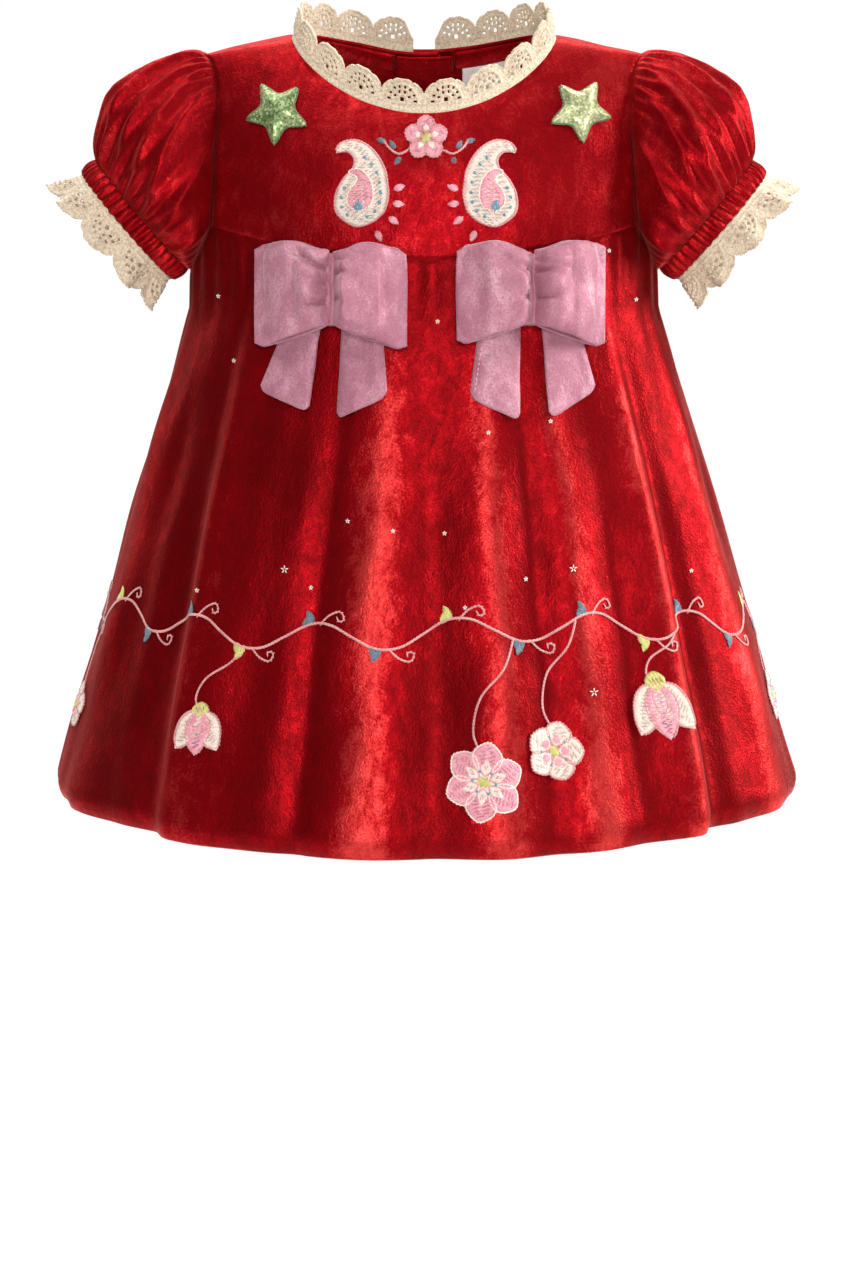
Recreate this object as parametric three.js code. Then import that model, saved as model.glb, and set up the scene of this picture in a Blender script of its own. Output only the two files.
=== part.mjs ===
// A toddler's short-sleeved party dress in velvet, filled out as it hangs when worn. A plain yoke has a
// standing lace edge at the neck and buttons down the back. The sleeves are puffed, with gathered cuffs
// and falls of lace. The flared skirt hangs in soft pleats from the yoke seam, where two ribbon bows sit,
// and two padded stars lie on the yoke.
// Millimetres, +Z up, and the front faces -Y. The origin lies midway between the neck ends of the
// shoulder seams, where the wearer's shoulders carry the dress.
import * as THREE from "three";

// Cloth
const velvet = 2; // the velvet with its backing
const seamGap = 0.3; // between two pieces that are sewn together
const halfGap = seamGap / 2;
const sideSeamTurn = 0.13; // degrees from the side line to a skirt panel's edge
const laceThickness = 1.2;
const ribbon = 1.4; // the velvet ribbon of a bow's loops
const facing = 1; // the thin bindings and the label inside the neck
const facingLift = 0.6; // their gap from the yoke

// Body: the heights of its seams, and how wide and deep it is at three levels
const seamLevel = -111.3; // the yoke seam at the front centre
const seamRise = 14.6; // how much higher the yoke seam ends at the armholes
const backSeamRise = 8;
const underarmLevel = -117;
const hemLevel = -400.5; // at the sides
const hemDip = { front: 13, back: 9 }; // how much lower the hem is at the centre
const bodySections = [
  { z: 10, halfWidth: 123.1, front: 62, back: 58 },
  { z: seamLevel, halfWidth: 123.1, front: 62, back: 58 },
  { z: -141, halfWidth: 123.6, front: 68.5, back: 64 },
  { z: -430, halfWidth: 210.5, front: 132, back: 127 },
];

// Yoke: the neck, the shoulders and the armholes
const neckHalfWidth = 69;
const neckDrop = { front: 37.5, back: 10 };
const neckRoundness = 1.5;
const shoulderHalfWidth = 115.6;
const shoulderSlope = 0.19;
const armholeCorner = 111; // where the yoke seam meets the armhole, from the centre
const armholeBow = 5.5; // how far the armhole curves in above that
const neckShare = 7 / 11; // the part of the yoke's top edge that is neckline
const neckHollow = { front: -8, back: -2 }; // how the form rises inside the neck
const roundness = { front: 2, back: 3 }; // how square the shoulders are
const chestSlope = { front: 0.645, back: 0 }; // how the upper chest leans back
const shoulderRounding = 20; // how far from the centre the shoulder line levels out
// The rise of the back over the shoulders, behind their seams, and the shares of the way down where it fades
const crest = { height: 6, width: 46, fadeFrom: 0.15, fadeTo: 0.6 };

// Skirt folds: the angle from the front centre at the yoke seam and at the hem, in degrees, how far the
// fold stands out at the hem, and its spread to the left and to the right at the hem, in degrees
const skirtFolds = [
  { seam: -78, hem: -76, out: 5, left: 8, right: 9 },
  { seam: -50, hem: -37, out: 11, left: 3.2, right: 11 },
  { seam: -26, hem: -20, out: 5, left: 6, right: 7 },
  { seam: -6, hem: -6, out: 9, left: 7, right: 6 },
  { seam: 15, hem: 11, out: 9, left: 6, right: 6.5 },
  { seam: 31, hem: 27, out: 5, left: 6, right: 6 },
  { seam: 46, hem: 44, out: 10, left: 10, right: 3.6 },
  { seam: 70, hem: 69, out: 6, left: 8, right: 9 },
  { seam: 108, hem: 106, out: 6, left: 8, right: 8 },
  { seam: 130, hem: 133, out: 9, left: 4, right: 9 },
  { seam: 150, hem: 152, out: 7, left: 7, right: 6 },
  { seam: 168, hem: 170, out: 8, left: 6, right: 7 },
  { seam: -170, hem: -169, out: 8, left: 7, right: 6 },
  { seam: -151, hem: -150, out: 6, left: 6, right: 7 },
  { seam: -131, hem: -130, out: 9, left: 9, right: 4 },
  { seam: -107, hem: -104, out: 6, left: 8, right: 8 },
];

// Sleeves: the cuff's place, tilt and size, and how far the puff swells at four places round it
const cuffCentre = { across: 152, height: -95 };
const cuffTilt = 40.5; // degrees that the sleeve points below the horizontal
const cuffHalfSize = { long: 36, deep: 27 };
const cuffBand = 10;
const cuffRibs = 36;
const ribDepth = 1.4;
const cuffCrown = 0.8; // how far the casing swells between its edges
const puff = { top: 17, front: 15, under: 0.4, back: 14 };
const puffRise = 0.65; // the power that squares off the puff's curve
const sleeveFolds = 12;
const foldDepth = 2.2;
const crownGap = 1.1; // how much further the gathered crown stands from the yoke's edge
const laceFall = 19.5;
const laceFlare = 3.5;
const cuffScallops = 10;
const cuffScallopDepth = 5;
const cuffLaceWave = 1.6;

// Neck lace
const neckLaceHeight = { valley: 10, peak: 16.5 };
const neckLaceLean = 4.5;
const neckLaceLift = 0.45; // its gap above the neckline
const neckScallops = 18;
const backOpening = 6; // half of the gap between the two ends of the lace
const laceEndDrop = 0.45; // how much lower the lace is at its two ends

// Back opening
const lap = 8; // how far each half of the back yoke passes the centre
const lapStep = velvet + 0.5;
const lapRun = 36; // the distance from the centre over which the under half dips
const placketHalfWidth = 15;
const button = { radius: 5.5, height: 2.6 };
const buttonLevels = [-22, -54, -86];
const binding = { width: 7, near: 17, far: 54, below: 0.6 }; // on each side inside the back of the neck
const labelShape = { left: 21, right: 50, drop: 20, tilt: 1.5 };

// Bows: the knot's centre, the loops' reach and height, and the tails' corners, from the knot's centre
const knot = { halfWidth: 4.5, halfHeight: 19, back: 2.4, depth: 11, endTaper: 0.35 };
const loopShape = { back: 3.3, knotDepth: 7, fullDepth: 13, foldDepth: 6 };
const tailLift = 0.8;
const tailThickness = 2;
const bows = [
  {
    name: "left",
    x: -46.8,
    z: -128,
    loops: [
      { side: -1, reach: 38.6, knotTop: 20, knotLow: -18, top: 22, low: -31, middle: 24.5 },
      { side: 1, reach: 37.6, knotTop: 19, knotLow: -18, top: 20.5, low: -31, middle: 24 },
    ],
    tails: [
      { side: -1, innerTop: [5.4, -11], outerTop: [23, -16], tip: [12, -62.5], corner: [38, -51.5] },
      { side: 1, innerTop: [5.4, -11], outerTop: [25, -17], tip: [2.4, -66], corner: [28, -53] },
    ],
  },
  {
    name: "right",
    x: 54.6,
    z: -128,
    loops: [
      { side: -1, reach: 37.8, knotTop: 19, knotLow: -17, top: 22, low: -28, middle: 25 },
      { side: 1, reach: 36.8, knotTop: 20, knotLow: -18, top: 23, low: -31, middle: 24.5 },
    ],
    tails: [
      { side: -1, innerTop: [5.4, -11], outerTop: [26, -16], tip: [6, -66.5], corner: [31, -54] },
      { side: 1, innerTop: [5.4, -11], outerTop: [24, -17], tip: [9, -66], corner: [34, -51.5] },
    ],
  },
];

// Stars
const starRadius = 17.5;
const starWaist = 0.5; // the inner corners' radius over the points' radius
const starPad = { edge: 1.1, shoulder: 3.1, middle: 3.6 };
const stars = [
  { name: "left", x: -76, z: -38, turn: 175 },
  { name: "right", x: 81, z: -37, turn: 184 },
];

// How finely the pieces are divided
const divisions = {
  skirtMiddle: 34,
  skirtSide: 7, // on each side, under the armhole
  skirtDown: 8,
  yokeAcross: 22,
  yokeUp: 8,
  sleeveDown: 8,
  scallop: 5,
  laceDown: 2,
  loopRound: 16,
  loopUp: 3,
  knotUp: 4,
  knotAcross: 8,
  tailAcross: 4,
  tailDown: 6,
};

const colours = { velvet: 0xb5101c, lace: 0xe6d9bd, ribbon: 0xcf92a6, star: 0x7fb56a, label: 0xe9e4dc };

const degrees = Math.PI / 180;
const cornerAngle = Math.asin(armholeCorner / bodySections[1].halfWidth) / degrees;
const mix = (a, b, share) => a + (b - a) * share;
const clamp = (value) => Math.min(1, Math.max(0, value));
const ease = (low, high, value) => {
  const share = clamp((value - low) / (high - low));
  return share * share * (3 - 2 * share);
};
const point = (x, y, z) => new THREE.Vector3(x, y, z);

// The body's half width, and its front or back depth, at a height.
function bodySize(z, face) {
  const below = Math.max(1, bodySections.findIndex((row) => row.z <= z));
  const [high, low] = [bodySections[below - 1], bodySections[below]];
  const share = clamp((high.z - z) / (high.z - low.z));
  return { halfWidth: mix(high.halfWidth, low.halfWidth, share), depth: mix(high[face], low[face], share) };
}

// The height of the shoulder line at a distance from the centre, and of the form's top inside the neck.
function shoulderTop(x, face) {
  const slope = Math.hypot(neckHalfWidth, shoulderRounding) - Math.hypot(x, shoulderRounding);
  const inside = clamp(1 - (x / neckHalfWidth) ** 2);
  return shoulderSlope * slope + neckHollow[face] * inside * inside;
}

// The square of the form's depth from the shoulder plane at a place on its front or back.
function depthSquared(x, z, face) {
  const { halfWidth, depth } = bodySize(z, face);
  const top = shoulderTop(x, face);
  const down = Math.min(1, (top - z) / (top - seamLevel));
  return depth * depth * (1 - (x / halfWidth) ** 2) * roundedShare(down, face);
}

// How much of the square of its full depth the form has at a share of the way down from its top.
function roundedShare(down, face) {
  const curve = 1 - Math.sign(1 - down) * Math.abs(1 - down) ** roundness[face];
  return curve * (1 - chestSlope[face] * (1 - down) ** 2);
}

// How far the back stands higher behind the shoulder seams, at a depth and a share of the way down.
function crestAt(depth, down) {
  const across = Math.sin(Math.PI * clamp(depth / crest.width));
  return crest.height * across ** 1.3 * (1 - ease(crest.fadeFrom, crest.fadeTo, down));
}

// How far the skirt's folds stand out at an angle from the front centre.
function foldAt(angle, z) {
  const share = clamp((seamLevel - z) / (seamLevel - hemLevel));
  const fullness = ease(0, 0.55, share) * mix(0.5, 1, share);
  let out = 0;
  for (const fold of skirtFolds) {
    let away = angle - mix(fold.seam, fold.hem, share);
    away -= 360 * Math.round(away / 360);
    const spread = away < 0 ? fold.left : fold.right;
    out += fold.out * Math.exp(-((away / spread) ** 2));
  }
  return out * fullness;
}

// The outer surface of the yoke or skirt at an angle from the front centre, in degrees, and a height.
function bodyPoint(angle, z) {
  const turn = angle * degrees;
  const face = Math.cos(turn) >= 0 ? "front" : "back";
  const { halfWidth, depth } = bodySize(z, face);
  const x = halfWidth * Math.sin(turn);
  const top = shoulderTop(x, face);
  const down = Math.min(1, (top - z) / (top - seamLevel));
  const rounded = Math.sqrt(roundedShare(down, face));
  const outward = point(Math.sin(turn) / halfWidth, -Math.cos(turn) / depth, 0).normalize();
  return point(x, -depth * Math.cos(turn) * rounded, z).addScaledVector(outward, foldAt(angle, z));
}

// The body's outward normal at an angle and a height, from neighbouring points.
function bodyNormal(angle, z) {
  const small = { angle: 0.6, z: 1 };
  const round = bodyPoint(angle + small.angle, z).sub(bodyPoint(angle - small.angle, z));
  const up = bodyPoint(angle, z + small.z).sub(bodyPoint(angle, z - small.z));
  return round.cross(up).normalize();
}

// The yoke's outward normal at a place on its front or back.
function yokeNormal(x, z, face) {
  const small = 0.5;
  const sign = face === "front" ? -1 : 1;
  const y = sign * Math.sqrt(Math.max(0, depthSquared(x, z, face)));
  const acrossSlope = (depthSquared(x + small, z, face) - depthSquared(x - small, z, face)) / (2 * small);
  const upSlope = (depthSquared(x, z + small, face) - depthSquared(x, z - small, face)) / (2 * small);
  return point(-acrossSlope, 2 * y, -upSlope).normalize();
}

function yokePoint(x, z, face) {
  const depth = Math.sqrt(Math.max(0, depthSquared(x, z, face)));
  if (face === "front") return point(x, -depth, z);
  const top = shoulderTop(x, face);
  return point(x, depth, z + crestAt(depth, (top - z) / (top - seamLevel)));
}

// The place on the front that lies at x and z, and its normal: yoke above the seam, skirt below it.
function frontAt(x, z) {
  if (z > seamHeight(x, "front")) return { at: yokePoint(x, z, "front"), normal: yokeNormal(x, z, "front") };
  let [low, high] = [-85, 85];
  for (let step = 0; step < 40; step++) {
    const middle = (low + high) / 2;
    if (bodyPoint(middle, z).x < x) low = middle;
    else high = middle;
  }
  return { at: bodyPoint(low, z), normal: bodyNormal(low, z) };
}

const onFront = (x, z, lift) => {
  const { at, normal } = frontAt(x, z);
  return at.addScaledVector(normal, lift);
};

// The height of the yoke seam at a distance from the centre.
function seamHeight(x, face) {
  const share = Math.min(1, Math.abs(x) / armholeCorner) ** 2;
  const corner = seamLevel + seamRise;
  return face === "front" ? mix(seamLevel, corner, share) : mix(corner - backSeamRise, corner, share);
}

// The skirt's top edge at an angle from the front centre: the yoke seam, then the foot of the armhole.
function skirtTop(angle) {
  const turn = angle * degrees;
  const face = Math.cos(turn) >= 0 ? "front" : "back";
  const x = bodySections[1].halfWidth * Math.sin(turn);
  if (Math.abs(x) <= armholeCorner) return seamHeight(x, face);
  const cornerCosine = Math.sqrt(1 - (armholeCorner / bodySections[1].halfWidth) ** 2);
  const share = Math.abs(Math.cos(turn)) / cornerCosine;
  return mix(underarmLevel, seamLevel + seamRise, share ** 1.8);
}

function hemHeight(angle) {
  const face = Math.cos(angle * degrees) >= 0 ? "front" : "back";
  return hemLevel - hemDip[face] * Math.cos(angle * degrees) ** 2;
}

// The height of the neckline at a distance from the centre.
function neckHeight(x, face) {
  const share = Math.sqrt(clamp(1 - (x / neckHalfWidth) ** 2));
  return -neckDrop[face] * share ** neckRoundness;
}

// Closed solids from an outer and an inner grid of points, stitched along their open edges. A grid is a
// list of columns, and a ring's last column joins its first.
function shell(outer, inner, ring) {
  const columns = outer.length;
  const rows = outer[0].length;
  const positions = [];
  for (const p of [...outer.flat(), ...inner.flat()]) positions.push(p.x, p.y, p.z);
  const index = (layer, column, row) => (layer * columns + (column % columns)) * rows + row;
  const faces = [];
  const quad = (a, b, c, d) => faces.push(a, b, c, a, c, d);
  const last = ring ? columns : columns - 1;
  for (let i = 0; i < last; i++) {
    for (let j = 0; j < rows - 1; j++) {
      quad(index(0, i, j), index(0, i + 1, j), index(0, i + 1, j + 1), index(0, i, j + 1));
      quad(index(1, i, j), index(1, i, j + 1), index(1, i + 1, j + 1), index(1, i + 1, j));
    }
    quad(index(0, i, 0), index(1, i, 0), index(1, i + 1, 0), index(0, i + 1, 0));
    quad(index(0, i, rows - 1), index(0, i + 1, rows - 1), index(1, i + 1, rows - 1), index(1, i, rows - 1));
  }
  if (!ring) {
    for (let j = 0; j < rows - 1; j++) {
      quad(index(0, 0, j), index(0, 0, j + 1), index(1, 0, j + 1), index(1, 0, j));
      quad(index(0, last, j), index(1, last, j), index(1, last, j + 1), index(0, last, j + 1));
    }
  }
  return closedGeometry(positions, faces);
}

// Makes the geometry, with its faces turned outwards.
function closedGeometry(positions, faces) {
  const corner = (k) => new THREE.Vector3().fromArray(positions, 3 * faces[k]);
  let volume = 0;
  for (let k = 0; k < faces.length; k += 3) volume += corner(k).dot(corner(k + 1).cross(corner(k + 2)));
  if (volume < 0) faces.reverse();
  const geometry = new THREE.BufferGeometry();
  geometry.setAttribute("position", new THREE.Float32BufferAttribute(positions, 3));
  geometry.setIndex(faces);
  geometry.computeVertexNormals();
  return geometry;
}

// A grid of values, a list of columns.
function gridOf(columns, rows, value) {
  const made = [];
  for (let i = 0; i <= columns; i++) {
    made.push([]);
    for (let j = 0; j <= rows; j++) made[i].push(value(i / columns, j / rows));
  }
  return made;
}

const ringOf = (columns, rows, value) => gridOf(columns, rows, value).slice(0, columns);

// A wall from a function that gives a place on its outer face and the normal there.
function wall(columns, rows, surface, thickness) {
  const places = gridOf(columns, rows, surface);
  const outer = places.map((column) => column.map((place) => place.at));
  const inner = places.map((column) =>
    column.map((place) => place.at.clone().addScaledVector(place.normal, -thickness)),
  );
  return shell(outer, inner, false);
}

// The normals of a ring of columns, from its own points.
function ringNormals(grid) {
  const columns = grid.length;
  return grid.map((column, i) =>
    column.map((p, j) => {
      const round = grid[(i + 1) % columns][j].clone().sub(grid[(i + columns - 1) % columns][j]);
      const down = column[Math.min(j + 1, column.length - 1)].clone().sub(column[Math.max(j - 1, 0)]);
      return round.cross(down).normalize();
    }),
  );
}

// Solids from stacked outlines, closed at both ends with a fan.
function stacked(outlines) {
  const count = outlines[0].length;
  const positions = [];
  for (const p of outlines.flat()) positions.push(p.x, p.y, p.z);
  const faces = [];
  for (let level = 0; level < outlines.length - 1; level++) {
    for (let k = 0; k < count; k++) {
      const next = (k + 1) % count;
      const [a, b] = [level * count + k, level * count + next];
      faces.push(a, b, b + count, a, b + count, a + count);
    }
  }
  const top = (outlines.length - 1) * count;
  for (let k = 1; k < count - 1; k++) {
    faces.push(0, k + 1, k);
    faces.push(top, top + k, top + k + 1);
  }
  return closedGeometry(positions, faces);
}

const dress = new THREE.Group();

function addPiece(name, geometry, colour, roughness = 0.85) {
  const material = new THREE.MeshStandardMaterial({ color: colour, roughness, metalness: 0 });
  const mesh = new THREE.Mesh(geometry, material);
  mesh.name = name;
  dress.add(mesh);
}

// Yoke: columns run from one armhole to the other, rows from the yoke seam to the neckline and shoulders.
function yokeTopPoint(share, face) {
  const side = Math.sign(share);
  const along = Math.abs(share);
  if (along < neckShare) {
    const part = share / neckShare;
    const x = neckHalfWidth * (face === "front" ? Math.sin(part * 90 * degrees) : part);
    return { x, z: neckHeight(x, face) };
  }
  const x = mix(neckHalfWidth, shoulderHalfWidth, (along - neckShare) / (1 - neckShare));
  return { x: side * x, z: shoulderTop(x, face) };
}

function yokePlace(share, up, face, dip = () => 0) {
  const foot = { x: armholeCorner * share, z: 0 };
  foot.z = seamHeight(foot.x, face);
  const top = yokeTopPoint(share, face);
  const bow = armholeBow * Math.sin(Math.PI * up) * ease(neckShare, 1, Math.abs(share));
  const x = mix(foot.x, top.x, up) - Math.sign(share) * bow;
  const downAt = (p) => Math.max(0, (shoulderTop(p.x, face) - p.z) / (shoulderTop(p.x, face) - seamLevel));
  const root = mix(Math.sqrt(downAt(foot)), Math.sqrt(downAt(top)), up);
  const crown = shoulderTop(x, face);
  const z = crown - root * root * (crown - seamLevel);
  const normal = yokeNormal(x, z, face);
  return { at: yokePoint(x, z, face).addScaledVector(normal, -dip(x)), normal };
}

// Leaves half a seam's gap at a yoke's foot and shoulders.
function yokeGaps(place, up, face) {
  const sign = face === "front" ? -1 : 1;
  if (up === 0) place.at.z += halfGap;
  if (up === 1 && Math.abs(place.at.y) < 1) place.at.y = sign * halfGap;
  return place;
}

function frontYoke() {
  const surface = (u, v) => yokeGaps(yokePlace(2 * u - 1, v, "front"), v, "front");
  return wall(divisions.yokeAcross, divisions.yokeUp, surface, velvet);
}

// How far the under half of the back yoke dips to pass beneath the other.
const lapDip = (x) => lapStep * ease(-lapRun, -lap - 1, x);

// Each half passes the centre. The one on the -X side tucks under the other.
function backYoke(side) {
  const past = lap / armholeCorner;
  const dip = side < 0 ? lapDip : () => 0;
  const shoulderPart = 1 / 3; // of the columns
  const surface = (u, v) => {
    const along = (u - shoulderPart) / (1 - shoulderPart);
    const share = u < shoulderPart ? mix(1, neckShare, u / shoulderPart) : mix(neckShare, -past, along);
    return yokeGaps(yokePlace(side * share, v, "back", dip), v, "back");
  };
  return wall(divisions.yokeAcross / 2 + 1, divisions.yokeUp, surface, velvet);
}

addPiece("front_yoke", frontYoke(), colours.velvet);
addPiece("back_yoke_left", backYoke(-1), colours.velvet);
addPiece("back_yoke_right", backYoke(1), colours.velvet);

// Skirt: columns run from side seam to side seam, rows from the top edge to the hem.
function skirtPanel(face) {
  const middle = face === "front" ? 0 : 180;
  const columns = divisions.skirtMiddle + 2 * divisions.skirtSide;
  const sidePart = divisions.skirtSide / columns;
  const fromMiddle = (u) => {
    const edge = clamp(Math.min(u, 1 - u) / sidePart);
    if (edge < 1) return Math.sign(u - 0.5) * mix(90 - sideSeamTurn, cornerAngle, edge);
    return (cornerAngle * (2 * u - 1)) / (1 - 2 * sidePart);
  };
  const surface = (u, v) => {
    const angle = middle + fromMiddle(u);
    const z = mix(skirtTop(angle) - halfGap, hemHeight(angle), v ** 0.9);
    return { at: bodyPoint(angle, z), normal: bodyNormal(angle, z) };
  };
  return wall(columns, divisions.skirtDown, surface, velvet);
}

addPiece("skirt_front", skirtPanel("front"), colours.velvet);
addPiece("skirt_back", skirtPanel("back"), colours.velvet);

// Sleeves. The armhole runs from the shoulder point down the yoke's edge, then along the skirt's edge.
const sleeveRound = 4 * divisions.yokeUp + 2 * divisions.skirtSide;
const edgeShare = (4 * divisions.yokeUp) / sleeveRound; // the part that the yoke's edge makes

function armholePlace(side, round) {
  const face = round < 0.5 ? "front" : "back";
  const along = round < 0.5 ? 2 * round : 2 * (1 - round);
  if (along <= edgeShare) return yokePlace(side, 1 - along / edgeShare, face);
  const share = (along - edgeShare) / (1 - edgeShare);
  const angle = mix(cornerAngle, 90, share) * side;
  const around = face === "front" ? angle : 180 * side - angle;
  return { at: bodyPoint(around, skirtTop(around)), normal: bodyNormal(around, skirtTop(around)) };
}

// The directions of a sleeve: along its axis away from the body, and up across the cuff.
const sleeveAxis = (side) => point(side * Math.cos(cuffTilt * degrees), 0, -Math.sin(cuffTilt * degrees));
const sleeveUp = (side) => point(side * Math.sin(cuffTilt * degrees), 0, Math.cos(cuffTilt * degrees));

// The direction out of the cuff at a share of the way round it, from the top by the front.
function cuffOutward(side, round) {
  const turn = 2 * Math.PI * round;
  return sleeveUp(side).multiplyScalar(Math.cos(turn)).add(point(0, -Math.sin(turn), 0));
}

function cuffPoint(side, round, along, grow = 0) {
  const turn = 2 * Math.PI * round;
  const centre = point(side * cuffCentre.across, 0, cuffCentre.height);
  return centre
    .addScaledVector(sleeveAxis(side), along)
    .addScaledVector(sleeveUp(side), (cuffHalfSize.long + grow) * Math.cos(turn))
    .add(point(0, -(cuffHalfSize.deep + grow) * Math.sin(turn), 0));
}

// How far the puff swells at a share of the way round, between its top, front, underside and back.
function puffAt(round) {
  const turn = 2 * Math.PI * round;
  const face = Math.sin(turn) >= 0 ? puff.front : puff.back;
  const ends = (puff.top + puff.under) / 2 + ((puff.top - puff.under) / 2) * Math.cos(turn);
  return mix(ends, face, Math.sin(turn) ** 2);
}

// How near a share of the way round is to the underarm, from 0 at the side to 1, and to the crown.
const lowness = (round) => ease(0.3, 0.5, Math.min(round, 1 - round));
const crownness = (round) => 1 - ease(0, 0.1, Math.min(round, 1 - round));

// The sleeve's two ends, at a depth within its wall. The first lies beside the cut edge of the body.
function sleeveHead(side, round, depth) {
  const { at, normal } = armholePlace(side, round);
  const low = lowness(round);
  const clear = point(side * (2 * seamGap + crownGap * crownness(round)), 0, 3 * seamGap * low);
  return at.add(clear).addScaledVector(normal, -depth * (1 - 0.8 * low)).add(point(0, 0, 0.8 * low * depth));
}

const sleeveFoot = (side, round, depth) =>
  cuffPoint(side, round, -cuffBand / 2 - seamGap, ribDepth / 2 - depth);

function sleevePoint(side, round, down) {
  const start = sleeveHead(side, round, 0);
  const low = lowness(round);
  const end = sleeveFoot(side, round, 0);
  const swell = Math.sin(Math.PI * down) ** puffRise;
  const fold = Math.cos(2 * Math.PI * sleeveFolds * round) * foldDepth * Math.sin(Math.PI * down) ** 0.5;
  const foldShare = 1 - 0.8 * low;
  const out = puffAt(round) * swell + fold * foldShare;
  const outward = cuffOutward(side, round);
  outward.x = side * Math.max(0, side * outward.x);
  return start.lerp(end, down).addScaledVector(outward, out);
}

function sleeve(side) {
  const { sleeveDown } = divisions;
  const outer = ringOf(sleeveRound, sleeveDown, (u, v) => sleevePoint(side, u, v));
  const normals = ringNormals(outer);
  const inner = outer.map((column, i) =>
    column.map((p, j) => {
      const head = sleeveHead(side, i / sleeveRound, velvet).sub(column[0]);
      const foot = sleeveFoot(side, i / sleeveRound, velvet).sub(column[sleeveDown]);
      const ends = head.lerp(foot, j / sleeveDown);
      if (j === 0 || j === sleeveDown) return p.clone().add(ends);
      const offset = normals[i][j].multiplyScalar(-side * velvet).lerp(ends, lowness(i / sleeveRound));
      return p.clone().add(offset);
    }),
  );
  return shell(outer, inner, true);
}

// The gathered casing of the elastic: ribs on the outside over a plain inside.
function cuff(side) {
  const rounds = 2 * cuffRibs;
  const rows = 2;
  const along = (v) => mix(-cuffBand / 2, cuffBand / 2, v);
  const crown = (v) => cuffCrown * Math.sin(Math.PI * v);
  const rib = (u) => (Math.round(u * rounds) % 2 ? ribDepth : 0);
  const outer = ringOf(rounds, rows, (u, v) => cuffPoint(side, u, along(v), rib(u) + crown(v)));
  const inner = ringOf(rounds, rows, (u, v) => cuffPoint(side, u, along(v), -velvet));
  return shell(outer, inner, true);
}

// The rise of a scalloped edge, from 0 in a notch to 1 on a crown, at a place counted in scallops.
const scallop = (place) => Math.abs(Math.sin(Math.PI * place)) ** 0.6;

function cuffLace(side) {
  const rounds = cuffScallops * divisions.scallop;
  const place = (u, v, layer) => {
    const fall = laceFall - cuffScallopDepth * (1 - scallop(u * cuffScallops));
    const wave = cuffLaceWave * v * Math.cos(2 * Math.PI * cuffScallops * u);
    const grow = -velvet * 0.5 + laceFlare * v + wave - layer * laceThickness;
    return cuffPoint(side, u, cuffBand / 2 + seamGap + fall * v, grow);
  };
  const outer = ringOf(rounds, divisions.laceDown, (u, v) => place(u, v, 0));
  const inner = ringOf(rounds, divisions.laceDown, (u, v) => place(u, v, 1));
  return shell(outer, inner, true);
}

for (const [side, name] of [[-1, "left"], [1, "right"]]) {
  addPiece(`sleeve_${name}`, sleeve(side), colours.velvet);
  addPiece(`cuff_${name}`, cuff(side), colours.velvet);
  addPiece(`cuff_lace_${name}`, cuffLace(side), colours.lace);
}

// Neck lace: a strip that stands up from the neckline, from one side of the back opening round the front
// to the other.
function neckLace() {
  const openAngle = 180 - Math.asin(backOpening / neckHalfWidth) / degrees;
  const place = (u, v, layer) => {
    const turn = mix(-openAngle, openAngle, u) * degrees;
    const face = Math.cos(turn) >= 0 ? "front" : "back";
    const x = neckHalfWidth * Math.sin(turn);
    const foot = yokePoint(x, neckHeight(x, face), face);
    const inward = point(-Math.sin(turn), Math.cos(turn), 0);
    const endDrop = 1 - ease(0.97, 1, Math.abs(2 * u - 1)) * laceEndDrop;
    const height = mix(neckLaceHeight.valley, neckLaceHeight.peak, scallop(u * neckScallops)) * endDrop;
    foot.addScaledVector(inward, layer * laceThickness + neckLaceLean * v);
    return foot.add(point(0, 0, neckLaceLift + height * v));
  };
  const columns = neckScallops * divisions.scallop;
  const outer = gridOf(columns, divisions.laceDown, (u, v) => place(u, v, 0));
  const inner = gridOf(columns, divisions.laceDown, (u, v) => place(u, v, 1));
  return shell(outer, inner, false);
}

addPiece("neck_lace", neckLace(), colours.lace);

// Strips that lie on the inside of the back yoke, each at its depth under the outer face.
function insideStrip(columns, rows, place, depthAt, thickness) {
  const surface = (u, v) => {
    const { x, z } = place(u, v);
    const normal = yokeNormal(x, z, "back");
    return { at: yokePoint(x, z, "back").addScaledVector(normal, -depthAt(x)), normal };
  };
  return wall(columns, rows, surface, thickness);
}

function placket() {
  const foot = seamHeight(0, "back") + 2;
  const place = (u, v) => {
    const x = mix(-placketHalfWidth, placketHalfWidth, u);
    return { x, z: mix(foot, neckHeight(x, "back") - 1, v) };
  };
  return insideStrip(3, 6, place, () => velvet + lapStep + facingLift, facing);
}

const bindingHeight = (x, up) => neckHeight(x, "back") - binding.below - binding.width * (1 - up);

function neckBinding(side) {
  const place = (u, v) => {
    const x = side * mix(binding.near, binding.far, u);
    return { x, z: bindingHeight(x, v) };
  };
  const depth = (x) => velvet + facingLift + (side < 0 ? lapDip(x) : 0);
  return insideStrip(8, 1, place, depth, facing);
}

function label() {
  const { left, right, drop, tilt } = labelShape;
  const foot = bindingHeight(left, 0) - drop;
  const place = (u, v) => {
    const x = mix(left, right, u);
    return { x, z: mix(foot + tilt * u, bindingHeight(x, 0) - seamGap, v) };
  };
  return insideStrip(4, 3, place, () => velvet + facingLift, facing);
}

addPiece("back_placket", placket(), colours.velvet);
addPiece("neck_binding_left", neckBinding(-1), colours.velvet);
addPiece("neck_binding_right", neckBinding(1), colours.velvet);
addPiece("neck_label", label(), colours.label);

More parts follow.
